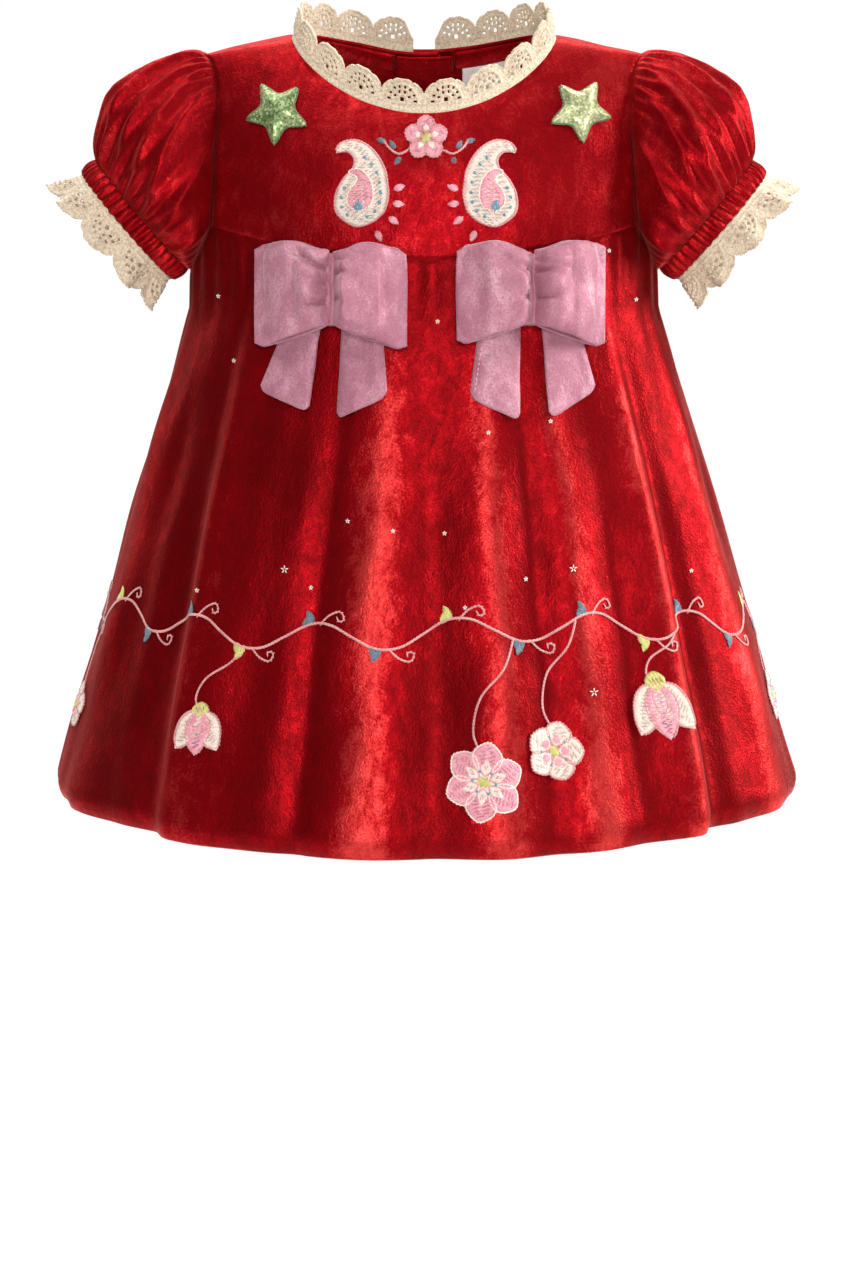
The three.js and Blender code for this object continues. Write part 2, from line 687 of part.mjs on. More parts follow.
// Buttons on the lapped centre of the back yoke: flat discs with a rounded rim.
function backButton(level) {
  const { radius, height } = button;
  const profile = [
    new THREE.Vector2(0, 0),
    new THREE.Vector2(radius * 0.9, 0),
    new THREE.Vector2(radius, height * 0.45),
    new THREE.Vector2(radius * 0.82, height),
    new THREE.Vector2(0, height),
  ];
  const disc = new THREE.LatheGeometry(profile, 16);
  const normal = yokeNormal(0, level, "back");
  const turn = new THREE.Quaternion().setFromUnitVectors(point(0, 1, 0), normal);
  const seat = yokePoint(0, level, "back").addScaledVector(normal, seamGap);
  return disc.applyQuaternion(turn).translate(seat.x, seat.y, seat.z);
}

buttonLevels.forEach((level, k) => addPiece(`button_${k + 1}`, backButton(level), colours.velvet));

// Bows. A loop is a flattened tube of ribbon, open at its top and bottom edges, whose back lies just off
// the dress. Its height grows from the knot to the fold at its outer end.
function bowLoop(bow, loop) {
  const near = knot.halfWidth + seamGap;
  const { back, knotDepth, fullDepth, foldDepth } = loopShape;
  const place = (round, up, inset) => {
    const turn = 2 * Math.PI * round;
    const share = (1 - Math.cos(turn)) / 2;
    const depth = mix(mix(knotDepth, fullDepth, ease(0, 0.45, share)), foldDepth, ease(0.5, 1, share));
    const reach = mix(near + inset, loop.reach - inset, share);
    const bulge = Math.sign(Math.sin(turn)) * Math.abs(Math.sin(turn)) ** 0.7;
    const half = depth / 2 - inset;
    const lift = back + depth / 2 + half * bulge;
    const high = mix(mix(loop.knotTop, loop.middle, ease(0, 0.5, share)), loop.top, ease(0.5, 1, share));
    const low = mix(loop.knotLow, loop.low, share ** 0.8);
    return onFront(bow.x + loop.side * reach, bow.z + mix(low, high, up), lift);
  };
  const { loopRound, loopUp } = divisions;
  const outer = ringOf(loopRound, loopUp, (u, v) => place(u, v, 0));
  const inner = ringOf(loopRound, loopUp, (u, v) => place(u, v, ribbon));
  return shell(outer, inner, true);
}

// The narrow band that pinches the bow, rounded at the front.
function bowKnot(bow) {
  const outlines = gridOf(divisions.knotUp, divisions.knotAcross, (up, across) => {
    const rise = mix(-knot.halfHeight, knot.halfHeight, up);
    const depth = knot.depth * (1 - knot.endTaper * (rise / knot.halfHeight) ** 2);
    const turn = Math.PI * across;
    const lift = knot.back + depth * Math.sin(turn) ** 0.8;
    return onFront(bow.x - knot.halfWidth * Math.cos(turn), bow.z + rise, lift);
  });
  return stacked(outlines);
}

// A tail lies flat on the skirt, behind the loops, and is cut on the slant.
function bowTail(bow, tail) {
  const lerp = (a, b, share) => [mix(a[0], b[0], share), mix(a[1], b[1], share)];
  const surface = (u, v) => {
    const upper = lerp(tail.innerTop, tail.outerTop, u);
    const lower = lerp(tail.tip, tail.corner, u);
    const [across, rise] = lerp(upper, lower, v);
    const { at, normal } = frontAt(bow.x + tail.side * across, bow.z + rise);
    return { at: at.addScaledVector(normal, tailLift + tailThickness), normal };
  };
  return wall(divisions.tailAcross, divisions.tailDown, surface, tailThickness);
}

for (const bow of bows) {
  for (const loop of bow.loops) {
    addPiece(`bow_${bow.name}_loop_${loop.side < 0 ? "left" : "right"}`, bowLoop(bow, loop), colours.ribbon);
  }
  addPiece(`bow_${bow.name}_knot`, bowKnot(bow), colours.ribbon);
  for (const tail of bow.tails) {
    addPiece(`bow_${bow.name}_tail_${tail.side < 0 ? "left" : "right"}`, bowTail(bow, tail), colours.ribbon);
  }
}

// Padded stars: a flat back on the yoke, a low edge all round and a raised middle.
function star(place) {
  const points = 5;
  const corner = (k, scale) => {
    const turn = (90 + place.turn + (k * 180) / points) * degrees;
    const radius = starRadius * scale * (k % 2 ? starWaist : 1);
    return { x: place.x + radius * Math.cos(turn), z: place.z + radius * Math.sin(turn) };
  };
  const outlineAt = (scale, lift) => {
    const outline = [];
    for (let k = 0; k < 2 * points; k++) {
      const here = corner(k, scale);
      outline.push(onFront(here.x, here.z, lift));
    }
    return outline;
  };
  const middleScale = 0.05;
  return stacked([
    outlineAt(middleScale, tailLift),
    outlineAt(0.55, tailLift),
    outlineAt(1, tailLift),
    outlineAt(1, tailLift + starPad.edge),
    outlineAt(0.6, tailLift + starPad.shoulder),
    outlineAt(middleScale, tailLift + starPad.middle),
  ]);
}

for (const place of stars) addPiece(`star_${place.name}`, star(place), colours.star, 0.6);

export default dress;
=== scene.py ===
import math
import bmesh
import bpy
import numpy as np
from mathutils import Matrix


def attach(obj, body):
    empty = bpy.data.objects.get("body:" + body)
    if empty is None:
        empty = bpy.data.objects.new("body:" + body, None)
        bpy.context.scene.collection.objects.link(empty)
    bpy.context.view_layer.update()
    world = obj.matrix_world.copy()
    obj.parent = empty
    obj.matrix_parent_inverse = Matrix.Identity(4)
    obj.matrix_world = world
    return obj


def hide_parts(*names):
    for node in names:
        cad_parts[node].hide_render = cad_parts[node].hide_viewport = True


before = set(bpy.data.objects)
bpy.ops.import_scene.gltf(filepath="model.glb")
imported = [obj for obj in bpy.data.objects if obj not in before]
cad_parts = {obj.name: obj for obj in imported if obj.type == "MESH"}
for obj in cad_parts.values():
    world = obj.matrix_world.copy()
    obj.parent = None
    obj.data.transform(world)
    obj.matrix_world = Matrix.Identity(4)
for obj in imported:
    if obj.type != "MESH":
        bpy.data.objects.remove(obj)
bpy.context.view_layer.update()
scene = bpy.context.scene
print("frame loaded")

# The camera stands 2.6 m in front, 8 degrees up, and looks at the middle of the photograph's frame.
camera = {"distance": 2.6, "elevation": 8, "aim": -0.3145, "lens": 138.85}
floor = {"level": -0.8, "radius": 1.7, "sides": 96}
studio = {"paper": 1.02, "room": 0.24}  # the white paper behind the dress, and the dim room light
lamps = {  # the place, aim, size and power of each soft lamp
    "key": {"place": (2.35, -0.1, 0.7), "aim": (0, 0, -0.25), "size": (0.7, 1.4), "power": 74},
    "front": {"place": (0.2, -2.7, 0.45), "aim": (0, 0, -0.25), "size": (0.3, 1.5), "power": 54},
    "top": {"place": (-0.3, -0.5, 2.2), "aim": (0, 0, -0.25), "size": (1.2, 1.2), "power": 30},
    "side": {"place": (-2.2, 0.8, 0.6), "aim": (0, 0, -0.25), "size": (0.4, 1.4), "power": 9},
    "paper": {"place": (0, 1.5, 1.6), "aim": (0, 1.1, -0.8), "size": (3.0, 1.6), "power": 90},
}


def addCamera():
    tilt = math.radians(camera["elevation"])
    data = bpy.data.cameras.new("camera")
    data.lens = camera["lens"]
    data.clip_end = 30
    eye = bpy.data.objects.new("camera", data)
    height = camera["aim"] + camera["distance"] * math.sin(tilt)
    eye.location = (0, -camera["distance"] * math.cos(tilt), height)
    eye.rotation_euler = (math.pi / 2 - tilt, 0, 0)
    scene.collection.objects.link(eye)
    scene.camera = eye


def addLamps():
    for name, lamp in lamps.items():
        data = bpy.data.lights.new(name, "AREA")
        data.shape = "RECTANGLE"
        data.size, data.size_y = lamp["size"]
        data.energy = lamp["power"]
        stand = bpy.data.objects.new(name, data)
        way = np.array(lamp["aim"]) - np.array(lamp["place"])
        stand.location = lamp["place"]
        heading = math.atan2(-way[0], way[1])
        stand.rotation_euler = (math.atan2(math.hypot(way[0], way[1]), -way[2]), 0, heading)
        scene.collection.objects.link(stand)


def addWorld():
    # The camera sees white paper on all sides. The cloth is lit by the lamps and a dim, even room.
    world = bpy.data.worlds.new("studio")
    world.use_nodes = True
    tree = world.node_tree
    room = tree.nodes["Background"]
    room.inputs["Strength"].default_value = studio["room"]
    room.inputs["Color"].default_value = (1, 1, 1, 1)
    paper = tree.nodes.new("ShaderNodeBackground")
    paper.inputs["Strength"].default_value = studio["paper"]
    paper.inputs["Color"].default_value = (1, 1, 1, 1)
    both = tree.nodes.new("ShaderNodeMixShader")
    tree.links.new(tree.nodes.new("ShaderNodeLightPath").outputs["Is Camera Ray"], both.inputs["Fac"])
    tree.links.new(room.outputs["Background"], both.inputs[1])
    tree.links.new(paper.outputs["Background"], both.inputs[2])
    tree.links.new(both.outputs["Shader"], tree.nodes["World Output"].inputs["Surface"])
    scene.world = world
    scene.view_settings.view_transform = "Standard"


addCamera()
addLamps()
addWorld()
print("camera and lamps set")


# Small helpers for numbers and grids. All shapes are worked out in millimetres.
def mix(a, b, share):
    return a + (b - a) * share


def ease(low, high, value):
    share = np.clip((value - low) / (high - low), 0, 1)
    return share * share * (3 - 2 * share)


def unit(vectors):
    return vectors / np.maximum(np.linalg.norm(vectors, axis=-1, keepdims=True), 1e-9)


def stack(x, y, z):
    return np.stack(np.broadcast_arrays(x, y, z), axis=-1).astype(float)


def gridShares(columns, rows, ring=False):
    u = np.arange(columns if ring else columns + 1) / columns
    return np.meshgrid(u, np.arange(rows + 1) / rows, indexing="ij")


def wobble(a, b, size, seed, count=9):
    # A soft random swell over two measures, about as wide as size.
    dice = np.random.default_rng(seed)
    total = np.zeros(np.broadcast(a, b).shape)
    for _ in range(count):
        turn, phase = dice.uniform(0, 2 * math.pi, 2)
        pitch = size * dice.uniform(0.6, 1.6)
        total += np.sin(2 * math.pi * (a * math.cos(turn) + b * math.sin(turn)) / pitch + phase)
    return total / math.sqrt(count)


def gridNormals(points, ring=False):
    if ring:
        along = np.roll(points, -1, axis=0) - np.roll(points, 1, axis=0)
    else:
        along = np.gradient(points, axis=0)
    normals = unit(np.cross(along, np.gradient(points, axis=1)))
    outward = np.sum(normals * (points - points.mean(axis=(0, 1))))
    return normals if outward >= 0 else -normals


# Meshes
def addMesh(name, points, faces, material, weld=0.0):
    mesh = bpy.data.meshes.new(name)
    mesh.from_pydata((np.asarray(points, dtype=float) / 1000).tolist(), [], faces)
    work = bmesh.new()
    work.from_mesh(mesh)
    if weld:
        bmesh.ops.remove_doubles(work, verts=work.verts, dist=weld / 1000)
    bmesh.ops.recalc_face_normals(work, faces=work.faces)
    work.to_mesh(mesh)
    work.free()
    mesh.polygons.foreach_set("use_smooth", [True] * len(mesh.polygons))
    mesh.materials.append(material)
    piece = bpy.data.objects.new(name, mesh)
    scene.collection.objects.link(piece)
    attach(piece, "root")
    return piece


def gridFaces(columns, rows, ringColumns=False, ringRows=False):
    columnSteps = np.arange(columns if ringColumns else columns - 1)
    rowSteps = np.arange(rows if ringRows else rows - 1)
    i, j = np.meshgrid(columnSteps, rowSteps, indexing="ij")
    a, b = i * rows + j, ((i + 1) % columns) * rows + j
    c, d = ((i + 1) % columns) * rows + (j + 1) % rows, i * rows + (j + 1) % rows
    return np.stack([a, b, c, d], axis=-1).reshape(-1, 4).tolist()


def clothSolid(name, outer, inner, material, ring=False, edge=0.8):
    # A closed thickness of cloth between two grids, rounded along its cut or turned edges.
    middle, half = (outer + inner) / 2, np.linalg.norm(outer - inner, axis=-1, keepdims=True) / 2
    foot = middle[:, -1] + unit(middle[:, -1] - middle[:, -2]) * half[:, -1] * edge
    head = middle[:, 0] + unit(middle[:, 0] - middle[:, 1]) * half[:, 0] * edge
    loops = np.concatenate([outer, foot[:, None], inner[:, ::-1], head[:, None]], axis=1)
    if not ring:
        flat = np.concatenate([middle, foot[:, None], middle[:, ::-1], head[:, None]], axis=1)
        ends = []
        for this, other in ((0, 1), (-1, -2)):
            way = unit(flat[this] - flat[other])
            first, last = half[this][:1], half[this][-1:]
            size = np.concatenate([half[this], last * 0.5, half[this][::-1], first * 0.5])
            ends.append(flat[this] + way * size * edge)
        loops = np.concatenate([ends[0][None], loops, ends[1][None]], axis=0)
    columns, rows = loops.shape[:2]
    faces = gridFaces(columns, rows, ring, True)
    return addMesh(name, loops.reshape(-1, 3), faces, material, weld=0.01)


def closedTube(name, loops, material):
    # A solid from stacked closed outlines, with a fan at either end.
    levels, count = loops.shape[:2]
    middles = [loops[0].mean(axis=0)[None], loops[-1].mean(axis=0)[None]]
    points = np.concatenate([loops.reshape(-1, 3), *middles])
    faces = gridFaces(levels, count, False, True)
    first, last = levels * count, levels * count + 1
    for k in range(count):
        faces.append([first, (k + 1) % count, k])
        faces.append([last, (levels - 1) * count + k, (levels - 1) * count + (k + 1) % count])
    return addMesh(name, points, faces, material)


# Body: the heights where it was measured, and its half width and its depth before and behind the shoulders
body = {
    "level": [-430, -141, -111.3, 10],
    "halfWidth": [206.5, 123.6, 123.1, 123.1],
    "front": [132, 68.5, 62, 62],
    "back": [127, 64, 58, 58],
    "seam": -111.3,
    "seamRise": 14.6,
    "backSeamRise": 8,
    "underarm": -121,
    "hem": -400.5,
    "hemDip": (13, 9),
    "sideTurn": 0.13,
}
neck = {"halfWidth": 69, "drop": (37.5, 10), "roundness": 1.5, "share": 7 / 11, "hollow": (-8, -2)}
shoulder = {"halfWidth": 115.6, "slope": 0.19, "rounding": 20, "roundness": (2, 3), "chestSlope": (0.645, 0)}
crest = {"height": 6, "width": 46, "fadeFrom": 0.15, "fadeTo": 0.6}
armhole = {"corner": 111, "bow": 5.5, "yokeShare": 32 / 46}  # yokeShare: of its edge, what lies on the yoke
cloth = {"velvet": 2, "gap": 0.3}
skirtFolds = [  # angle at the seam and at the hem, stand-out, reach to the left and right valley, strength of the painted highlight on its crest
    (-79, -64, 6, 10, 9, 0.25),
    (-46, -41, 13, 3, 24, 0.45),
    (-7.5, -8.5, 12, 10, 9.5, 1),
    (13, 12, 13, 10, 8.5, 1),
    (28, 27, 11, 8, 8.5, 0.95),
    (49.5, 45, 14, 10.5, 3, 1.1),
    (69, 68, 9, 12, 11, 1),
    (92, 92, 4, 11, 11, 0.8),
    (112, 110, 10, 8, 10, 0.8),
    (131, 134, 12, 12, 8, 0.9),
    (150, 151, 10, 9, 9, 0.8),
    (169, 170, 12, 10, 9, 1),
    (-171, -170, 11, 9, 9, 0.8),
    (-152, -151, 10, 9, 9, 0.9),
    (-131, -130, 13, 11, 7, 0.8),
    (-108, -104, 6, 10, 10, 0.5),
]
skirtCreases = [(-24, -23, 2.5, 5, 4), (-14.5, -17, 2.6, 1.6, 4), (58, 55, 1.8, 3, 3), (-60, -53, 2, 3, 4)]
foldCrest = 0.35  # how round a fold's crest is
foldValley = 1.6  # how softly two folds meet
paintedCrestLight = {"spread": 0.44, "low": 0.32, "full": 0.42}  # painted light: the spread of the painted highlight across a crest, the painted shade level between crests, and the highlight added on them
hemRoll = {"height": 12, "depth": 5}  # the hem curls in a little at its edge
gathers = {"count": 40, "depth": 1.3, "fall": 38, "swell": 0.8}  # small puckers under the yoke seam
cornerAngle = math.degrees(math.asin(armhole["corner"] / body["halfWidth"][2]))


def bodySize(z, back):
    front = np.interp(z, body["level"], body["front"])
    depth = np.where(back, np.interp(z, body["level"], body["back"]), front)
    return np.interp(z, body["level"], body["halfWidth"]), depth


def shoulderTop(x, back):
    slope = math.hypot(neck["halfWidth"], shoulder["rounding"]) - np.hypot(x, shoulder["rounding"])
    inside = np.clip(1 - (x / neck["halfWidth"]) ** 2, 0, 1)
    return shoulder["slope"] * slope + np.where(back, neck["hollow"][1], neck["hollow"][0]) * inside**2


def roundedShare(down, back):
    up = 1 - down
    curve = 1 - np.sign(up) * np.abs(up) ** np.where(back, *shoulder["roundness"][::-1])
    return curve * (1 - np.where(back, *shoulder["chestSlope"][::-1]) * up**2)


def awayFrom(fold, angle, share):
    away = angle - mix(fold[0], fold[1], share)
    away = away - 360 * np.round(away / 360)
    return away / np.where(away < 0, fold[3], fold[4])


def tentsAt(angle, share):
    total = 1.0
    for fold in skirtFolds:
        stand = fold[2] * (1 + foldCrest - np.hypot(awayFrom(fold, angle, share), foldCrest))
        total = total + np.exp(np.maximum(stand, -40) / foldValley)
    return foldValley * np.log(total)


def foldAt(angle, z, plain=False):
    share = np.clip((body["seam"] - z) / (body["seam"] - body["hem"]), 0, 1)
    fullness = ease(0, 0.6, share) * mix(0.55, 1, share) * (1 - 0.2 * ease(0.7, 1, share))
    out = tentsAt(angle, share)
    for fold in skirtCreases:
        out = out + fold[2] * np.exp(-(awayFrom(fold, angle, share) ** 2))
    rolled = hemRoll["depth"] * np.clip(1 - (z - hemHeight(angle)) / hemRoll["height"], 0, 1) ** 2
    out = out * fullness - rolled
    if plain:
        return out
    below = np.maximum(0, skirtTop(angle) - z)
    near = np.exp(-((below / gathers["fall"]) ** 2)) * ease(0, 5, below)
    pucker = np.sin(np.radians(angle) * gathers["count"] + 1.3 * np.sin(np.radians(angle) * 7))
    around = np.arcsin(np.sin(np.radians(angle)))  # the same at both panels' side edges
    soft = gathers["swell"] * wobble(around * 130, z * 0.3, 34, 77) * ease(0, 90, below)
    return out + gathers["depth"] * near * (0.5 * pucker - 0.2) + soft


def skirtPoint(angle, z, plain=False):
    turn = np.radians(angle)
    back = np.cos(turn) < 0
    halfWidth, depth = bodySize(z, back)
    x = halfWidth * np.sin(turn)
    top = shoulderTop(x, back)
    rounded = np.sqrt(roundedShare(np.minimum(1, (top - z) / (top - body["seam"])), back))
    outward = unit(stack(np.sin(turn) / halfWidth, -np.cos(turn) / depth, np.zeros_like(turn)))
    return stack(x, -depth * np.cos(turn) * rounded, z) + outward * foldAt(angle, z, plain)[..., None]


def yokePoint(x, z, back):
    halfWidth, depth = bodySize(z, back)
    top = shoulderTop(x, back)
    down = (top - z) / (top - body["seam"])
    square = depth**2 * (1 - (x / halfWidth) ** 2) * roundedShare(np.minimum(1, down), back)
    out = np.sqrt(np.maximum(0, square))
    across = np.sin(math.pi * np.clip(out / crest["width"], 0, 1)) ** 1.3
    lift = crest["height"] * across * (1 - ease(crest["fadeFrom"], crest["fadeTo"], down))
    return stack(x, np.where(back, out, -out), z + np.where(back, lift, 0))


def yokeNormal(x, z, back):
    step = 0.5
    across = yokePoint(x + step, z, back) - yokePoint(x - step, z, back)
    up = yokePoint(x, z + step, back) - yokePoint(x, z - step, back)
    normal = unit(np.cross(across, up))
    return np.where(np.asarray(back)[..., None], -normal, normal)


def seamHeight(x, back):
    share = np.minimum(1, np.abs(x) / armhole["corner"]) ** 2
    middle = body["seam"]
    corner = middle + body["seamRise"]
    return np.where(back, mix(corner - body["backSeamRise"], corner, share), mix(middle, corner, share))


def skirtTop(angle):
    turn = np.radians(angle)
    x = body["halfWidth"][2] * np.sin(turn)
    share = np.abs(np.cos(turn)) / math.cos(math.radians(cornerAngle))
    under = mix(body["underarm"], body["seam"] + body["seamRise"], np.minimum(1, share) ** 1.8)
    return np.where(np.abs(x) <= armhole["corner"], seamHeight(x, np.cos(turn) < 0), under)


def hemHeight(angle):
    turn = np.radians(angle)
    dip = np.where(np.cos(turn) < 0, body["hemDip"][1], body["hemDip"][0])
    return body["hem"] - dip * np.cos(turn) ** 2


def neckHeight(x, back):
    share = np.sqrt(np.clip(1 - (x / neck["halfWidth"]) ** 2, 0, 1))
    return -np.where(back, neck["drop"][1], neck["drop"][0]) * share ** neck["roundness"]


def skirtNormal(angle, z, plain=False):
    around = skirtPoint(angle + 0.6, z, plain) - skirtPoint(angle - 0.6, z, plain)
    up = skirtPoint(angle, z + 1, plain) - skirtPoint(angle, z - 1, plain)
    return unit(np.cross(around, up))


# The heights round a place that are averaged over the yoke seam, and the share of each
seamBlend = {"steps": (-14, -7, 0, 7, 14), "shares": (0.1, 0.2, 0.4, 0.2, 0.1)}


def frontAt(x, z, plain=False):
    # The place on the outside of the front at x and z, yoke or skirt, and the way out of the cloth there. A
    # plain place is smoothed over the yoke seam, as the base of a bow is.
    x, z = np.broadcast_arrays(np.asarray(x, float), np.asarray(z, float))
    if plain:
        near = [frontAt(x, z + step) for step in seamBlend["steps"]]
        at = sum(share * place for share, (place, _) in zip(seamBlend["shares"], near))
        normal = unit(sum(share * way for share, (_, way) in zip(seamBlend["shares"], near)))
        return np.stack([x, at[..., 1], z], axis=-1), normal
    low, high = np.full(x.shape, -85.0), np.full(x.shape, 85.0)
    for _ in range(24):
        middle = (low + high) / 2
        short = skirtPoint(middle, z)[..., 0] < x
        low, high = np.where(short, middle, low), np.where(short, high, middle)
    onYoke = (z > seamHeight(x, False))[..., None]
    at = np.where(onYoke, yokePoint(x, z, False), skirtPoint(low, z))
    return at, np.where(onYoke, yokeNormal(x, z, False), skirtNormal(low, z))


def onFront(x, z, lift, plain=False):
    at, normal = frontAt(x, z, plain)
    return at + normal * np.asarray(lift, float)[..., None]


# Materials
def newMaterial(name):
    material = bpy.data.materials.new(name)
    material.use_nodes = True
    tree = material.node_tree
    shader = tree.nodes["Principled BSDF"]
    place = tree.nodes.new("ShaderNodeTexCoord").outputs["Object"]
    return material, tree, shader, place


def addNoise(tree, place, scale, detail=4.0, rough=0.55, distortion=0.0):
    node = tree.nodes.new("ShaderNodeTexNoise")
    node.inputs["Scale"].default_value = scale
    node.inputs["Detail"].default_value = detail
    node.inputs["Roughness"].default_value = rough
    node.inputs["Distortion"].default_value = distortion
    tree.links.new(place, node.inputs["Vector"])
    return node.outputs["Fac"]


def addSum(tree, first, second, share):
    node = tree.nodes.new("ShaderNodeMix")
    node.inputs["Factor"].default_value = share
    tree.links.new(first, node.inputs["A"])
    tree.links.new(second, node.inputs["B"])
    return node.outputs["Result"]


def addRamp(tree, value, stops):
    node = tree.nodes.new("ShaderNodeValToRGB")
    ramp = node.color_ramp
    while len(ramp.elements) < len(stops):
        ramp.elements.new(0.5)
    for element, (position, colour) in zip(ramp.elements, stops):
        element.position = position
        element.color = (*colour, 1)
    tree.links.new(value, node.inputs["Fac"])
    return node.outputs["Color"]


def addBump(tree, shader, height, strength, distance):
    node = tree.nodes.new("ShaderNodeBump")
    node.inputs["Strength"].default_value = strength
    node.inputs["Distance"].default_value = distance
    tree.links.new(height, node.inputs["Height"])
    tree.links.new(node.outputs["Normal"], shader.inputs["Normal"])


velvetLook = {
    "dark": (0.15, 0.0005, 0.003),
    "middle": (0.24, 0.001, 0.004),
    "light": (0.40, 0.016, 0.017),
    "stops": (0.38, 0.5, 0.64),
    "bands": 14,
    "patches": 150,
    "pile": 900,
    "metal": 0.72,
    "rough": (0.52, 0.33),
    "bump": 0.42,
    "sheen": 0.24,
    "sheenTint": (1, 0.2, 0.18, 1),
    "shine": (1, 0.2, 0.17, 1),
}


def velvetMaterial(name, look):
    # Crushed velvet: the pile lies this way and that in small patches, which shine or stay dark.
    material, tree, shader, place = newMaterial(name)
    longer = tree.nodes.new("ShaderNodeMapping")
    longer.inputs["Scale"].default_value = (1, 1, 0.55)
    tree.links.new(place, longer.inputs["Vector"])
    broad = addNoise(tree, longer.outputs["Vector"], look["bands"], 3, 0.5, 0.6)
    patches = addNoise(tree, longer.outputs["Vector"], look["patches"], 5, 0.62, 0.5)
    pile = addNoise(tree, place, look["pile"], 3, 0.6)
    crush = addSum(tree, addSum(tree, broad, patches, 0.55), pile, 0.3)
    # Painted light: the crest attribute lightens the colour on the fold crests as a painted highlight and
    # darkens it between them as painted shade
    if "crest" in look:
        paintedLight = tree.nodes.new("ShaderNodeAttribute")
        paintedLight.attribute_name = "crest"
        crush = addSum(tree, crush, paintedLight.outputs["Fac"], look["crest"])
    colour = addRamp(tree, crush, list(zip(look["stops"], (look["dark"], look["middle"], look["light"]))))
    tree.links.new(colour, shader.inputs["Base Color"])
    most, least = look["rough"]
    rough = addRamp(tree, addSum(tree, patches, pile, 0.4), [(0.35, (most,) * 3), (0.62, (least,) * 3)])
    tree.links.new(rough, shader.inputs["Roughness"])
    shader.inputs["Metallic"].default_value = look["metal"]
    shader.inputs["Specular IOR Level"].default_value = 0.4
    shader.inputs["Specular Tint"].default_value = look["shine"]
    shader.inputs["Sheen Weight"].default_value = look["sheen"]
    shader.inputs["Sheen Roughness"].default_value = 0.35
    shader.inputs["Sheen Tint"].default_value = look["sheenTint"]
    addBump(tree, shader, addSum(tree, patches, pile, 0.4), look["bump"], 0.0016)
    return material


velvet = velvetMaterial("velvet", velvetLook)
skirtLook = {  # a painted highlight on the crests of the folds, and painted shade between them
    **velvetLook,
    "dark": (0.13, 0.0004, 0.002),
    "light": (0.52, 0.036, 0.033),
    "stops": (0.40, 0.5, 0.62),
    "crest": 0.36,
}
skirtVelvet = velvetMaterial("velvet_skirt_painted_light", skirtLook)
ribbonLook = {
    "dark": (0.25, 0.08, 0.12),
    "middle": (0.38, 0.15, 0.20),
    "light": (0.62, 0.37, 0.42),
    "stops": (0.3, 0.5, 0.7),
    "bands": 34,
    "patches": 110,
    "pile": 900,
    "metal": 0.15,
    "rough": (0.62, 0.4),
    "bump": 0.5,
    "sheen": 0.5,
    "sheenTint": (1, 0.75, 0.78, 1),
    "shine": (1, 0.8, 0.82, 1),
}
ribbonVelvet = velvetMaterial("ribbon", ribbonLook)


def laceMaterial():
    material, tree, shader, place = newMaterial("lace")
    threads = addNoise(tree, place, 900, 3, 0.6)
    colour = addRamp(tree, threads, [(0.3, (0.36, 0.26, 0.165)), (0.62, (0.68, 0.56, 0.41))])
    tree.links.new(colour, shader.inputs["Base Color"])
    shader.inputs["Roughness"].default_value = 0.7
    shader.inputs["Sheen Weight"].default_value = 0.2
    addBump(tree, shader, threads, 0.3, 0.0003)
    return material


lace = laceMaterial()


glitterLooks = {
    "deep": ((0.07, 0.12, 0.035), (0.17, 0.26, 0.09), (0.50, 0.56, 0.28)),
    "pale": ((0.20, 0.23, 0.10), (0.36, 0.39, 0.19), (0.70, 0.68, 0.42)),
}


def glitterMaterial(word):
    material, tree, shader, place = newMaterial(f"star_glitter_{word}")
    cells = tree.nodes.new("ShaderNodeTexVoronoi")
    cells.inputs["Scale"].default_value = 900
    tree.links.new(place, cells.inputs["Vector"])
    flecks = addSum(tree, cells.outputs["Color"], addNoise(tree, place, 90, 3), 0.5)
    colour = addRamp(tree, flecks, list(zip((0.3, 0.5, 0.7), glitterLooks[word])))
    tree.links.new(colour, shader.inputs["Base Color"])
    shader.inputs["Metallic"].default_value = 0.45
    shader.inputs["Roughness"].default_value = 0.38
    addBump(tree, shader, cells.outputs["Color"], 0.7, 0.0005)
    return material


glitter = {word: glitterMaterial(word) for word in glitterLooks}


def labelMaterial():
    material, tree, shader, place = newMaterial("label_tape")
    weave = addNoise(tree, place, 1400, 2)
    colour = addRamp(tree, weave, [(0.3, (0.68, 0.65, 0.6)), (0.7, (0.86, 0.84, 0.8))])
    tree.links.new(colour, shader.inputs["Base Color"])
    shader.inputs["Roughness"].default_value = 0.75
    addBump(tree, shader, weave, 0.4, 0.0003)
    return material


labelTape = labelMaterial()
print("materials made")


# Yoke: columns run from one armhole to the other, rows from the neckline and shoulders to the yoke seam.
yokeDetail = {"across": 116, "down": 64}


def yokeTopPoint(share, back):
    along = np.abs(share)
    part = share / neck["share"]
    sine = np.sin(np.radians(90 * np.clip(part, -1, 1)))
    inner = neck["halfWidth"] * np.where(back, part, sine)
    outer = mix(neck["halfWidth"], shoulder["halfWidth"], (along - neck["share"]) / (1 - neck["share"]))
    x = np.where(along < neck["share"], inner, np.sign(share) * outer)
    return x, np.where(along < neck["share"], neckHeight(x, back), shoulderTop(np.abs(x), back))


def yokePlace(share, up, back):
    footX = armhole["corner"] * share
    footZ = seamHeight(footX, back)
    topX, topZ = yokeTopPoint(share, back)
    bow = armhole["bow"] * np.sin(math.pi * up) * ease(neck["share"], 1, np.abs(share))
    x = mix(footX, topX, up) - np.sign(share) * bow

    def downAt(px, pz):
        top = shoulderTop(px, back)
        return np.maximum(0, (top - pz) / (top - body["seam"]))

    root = mix(np.sqrt(downAt(footX, footZ)), np.sqrt(downAt(topX, topZ)), up)
    crown = shoulderTop(x, back)
    z = crown - root**2 * (crown - body["seam"])
    return x, z


lap = {"past": 8, "step": cloth["velvet"] + 0.5, "run": 36}


def lapDip(x):
    return lap["step"] * ease(-lap["run"], -lap["past"] - 1, x)


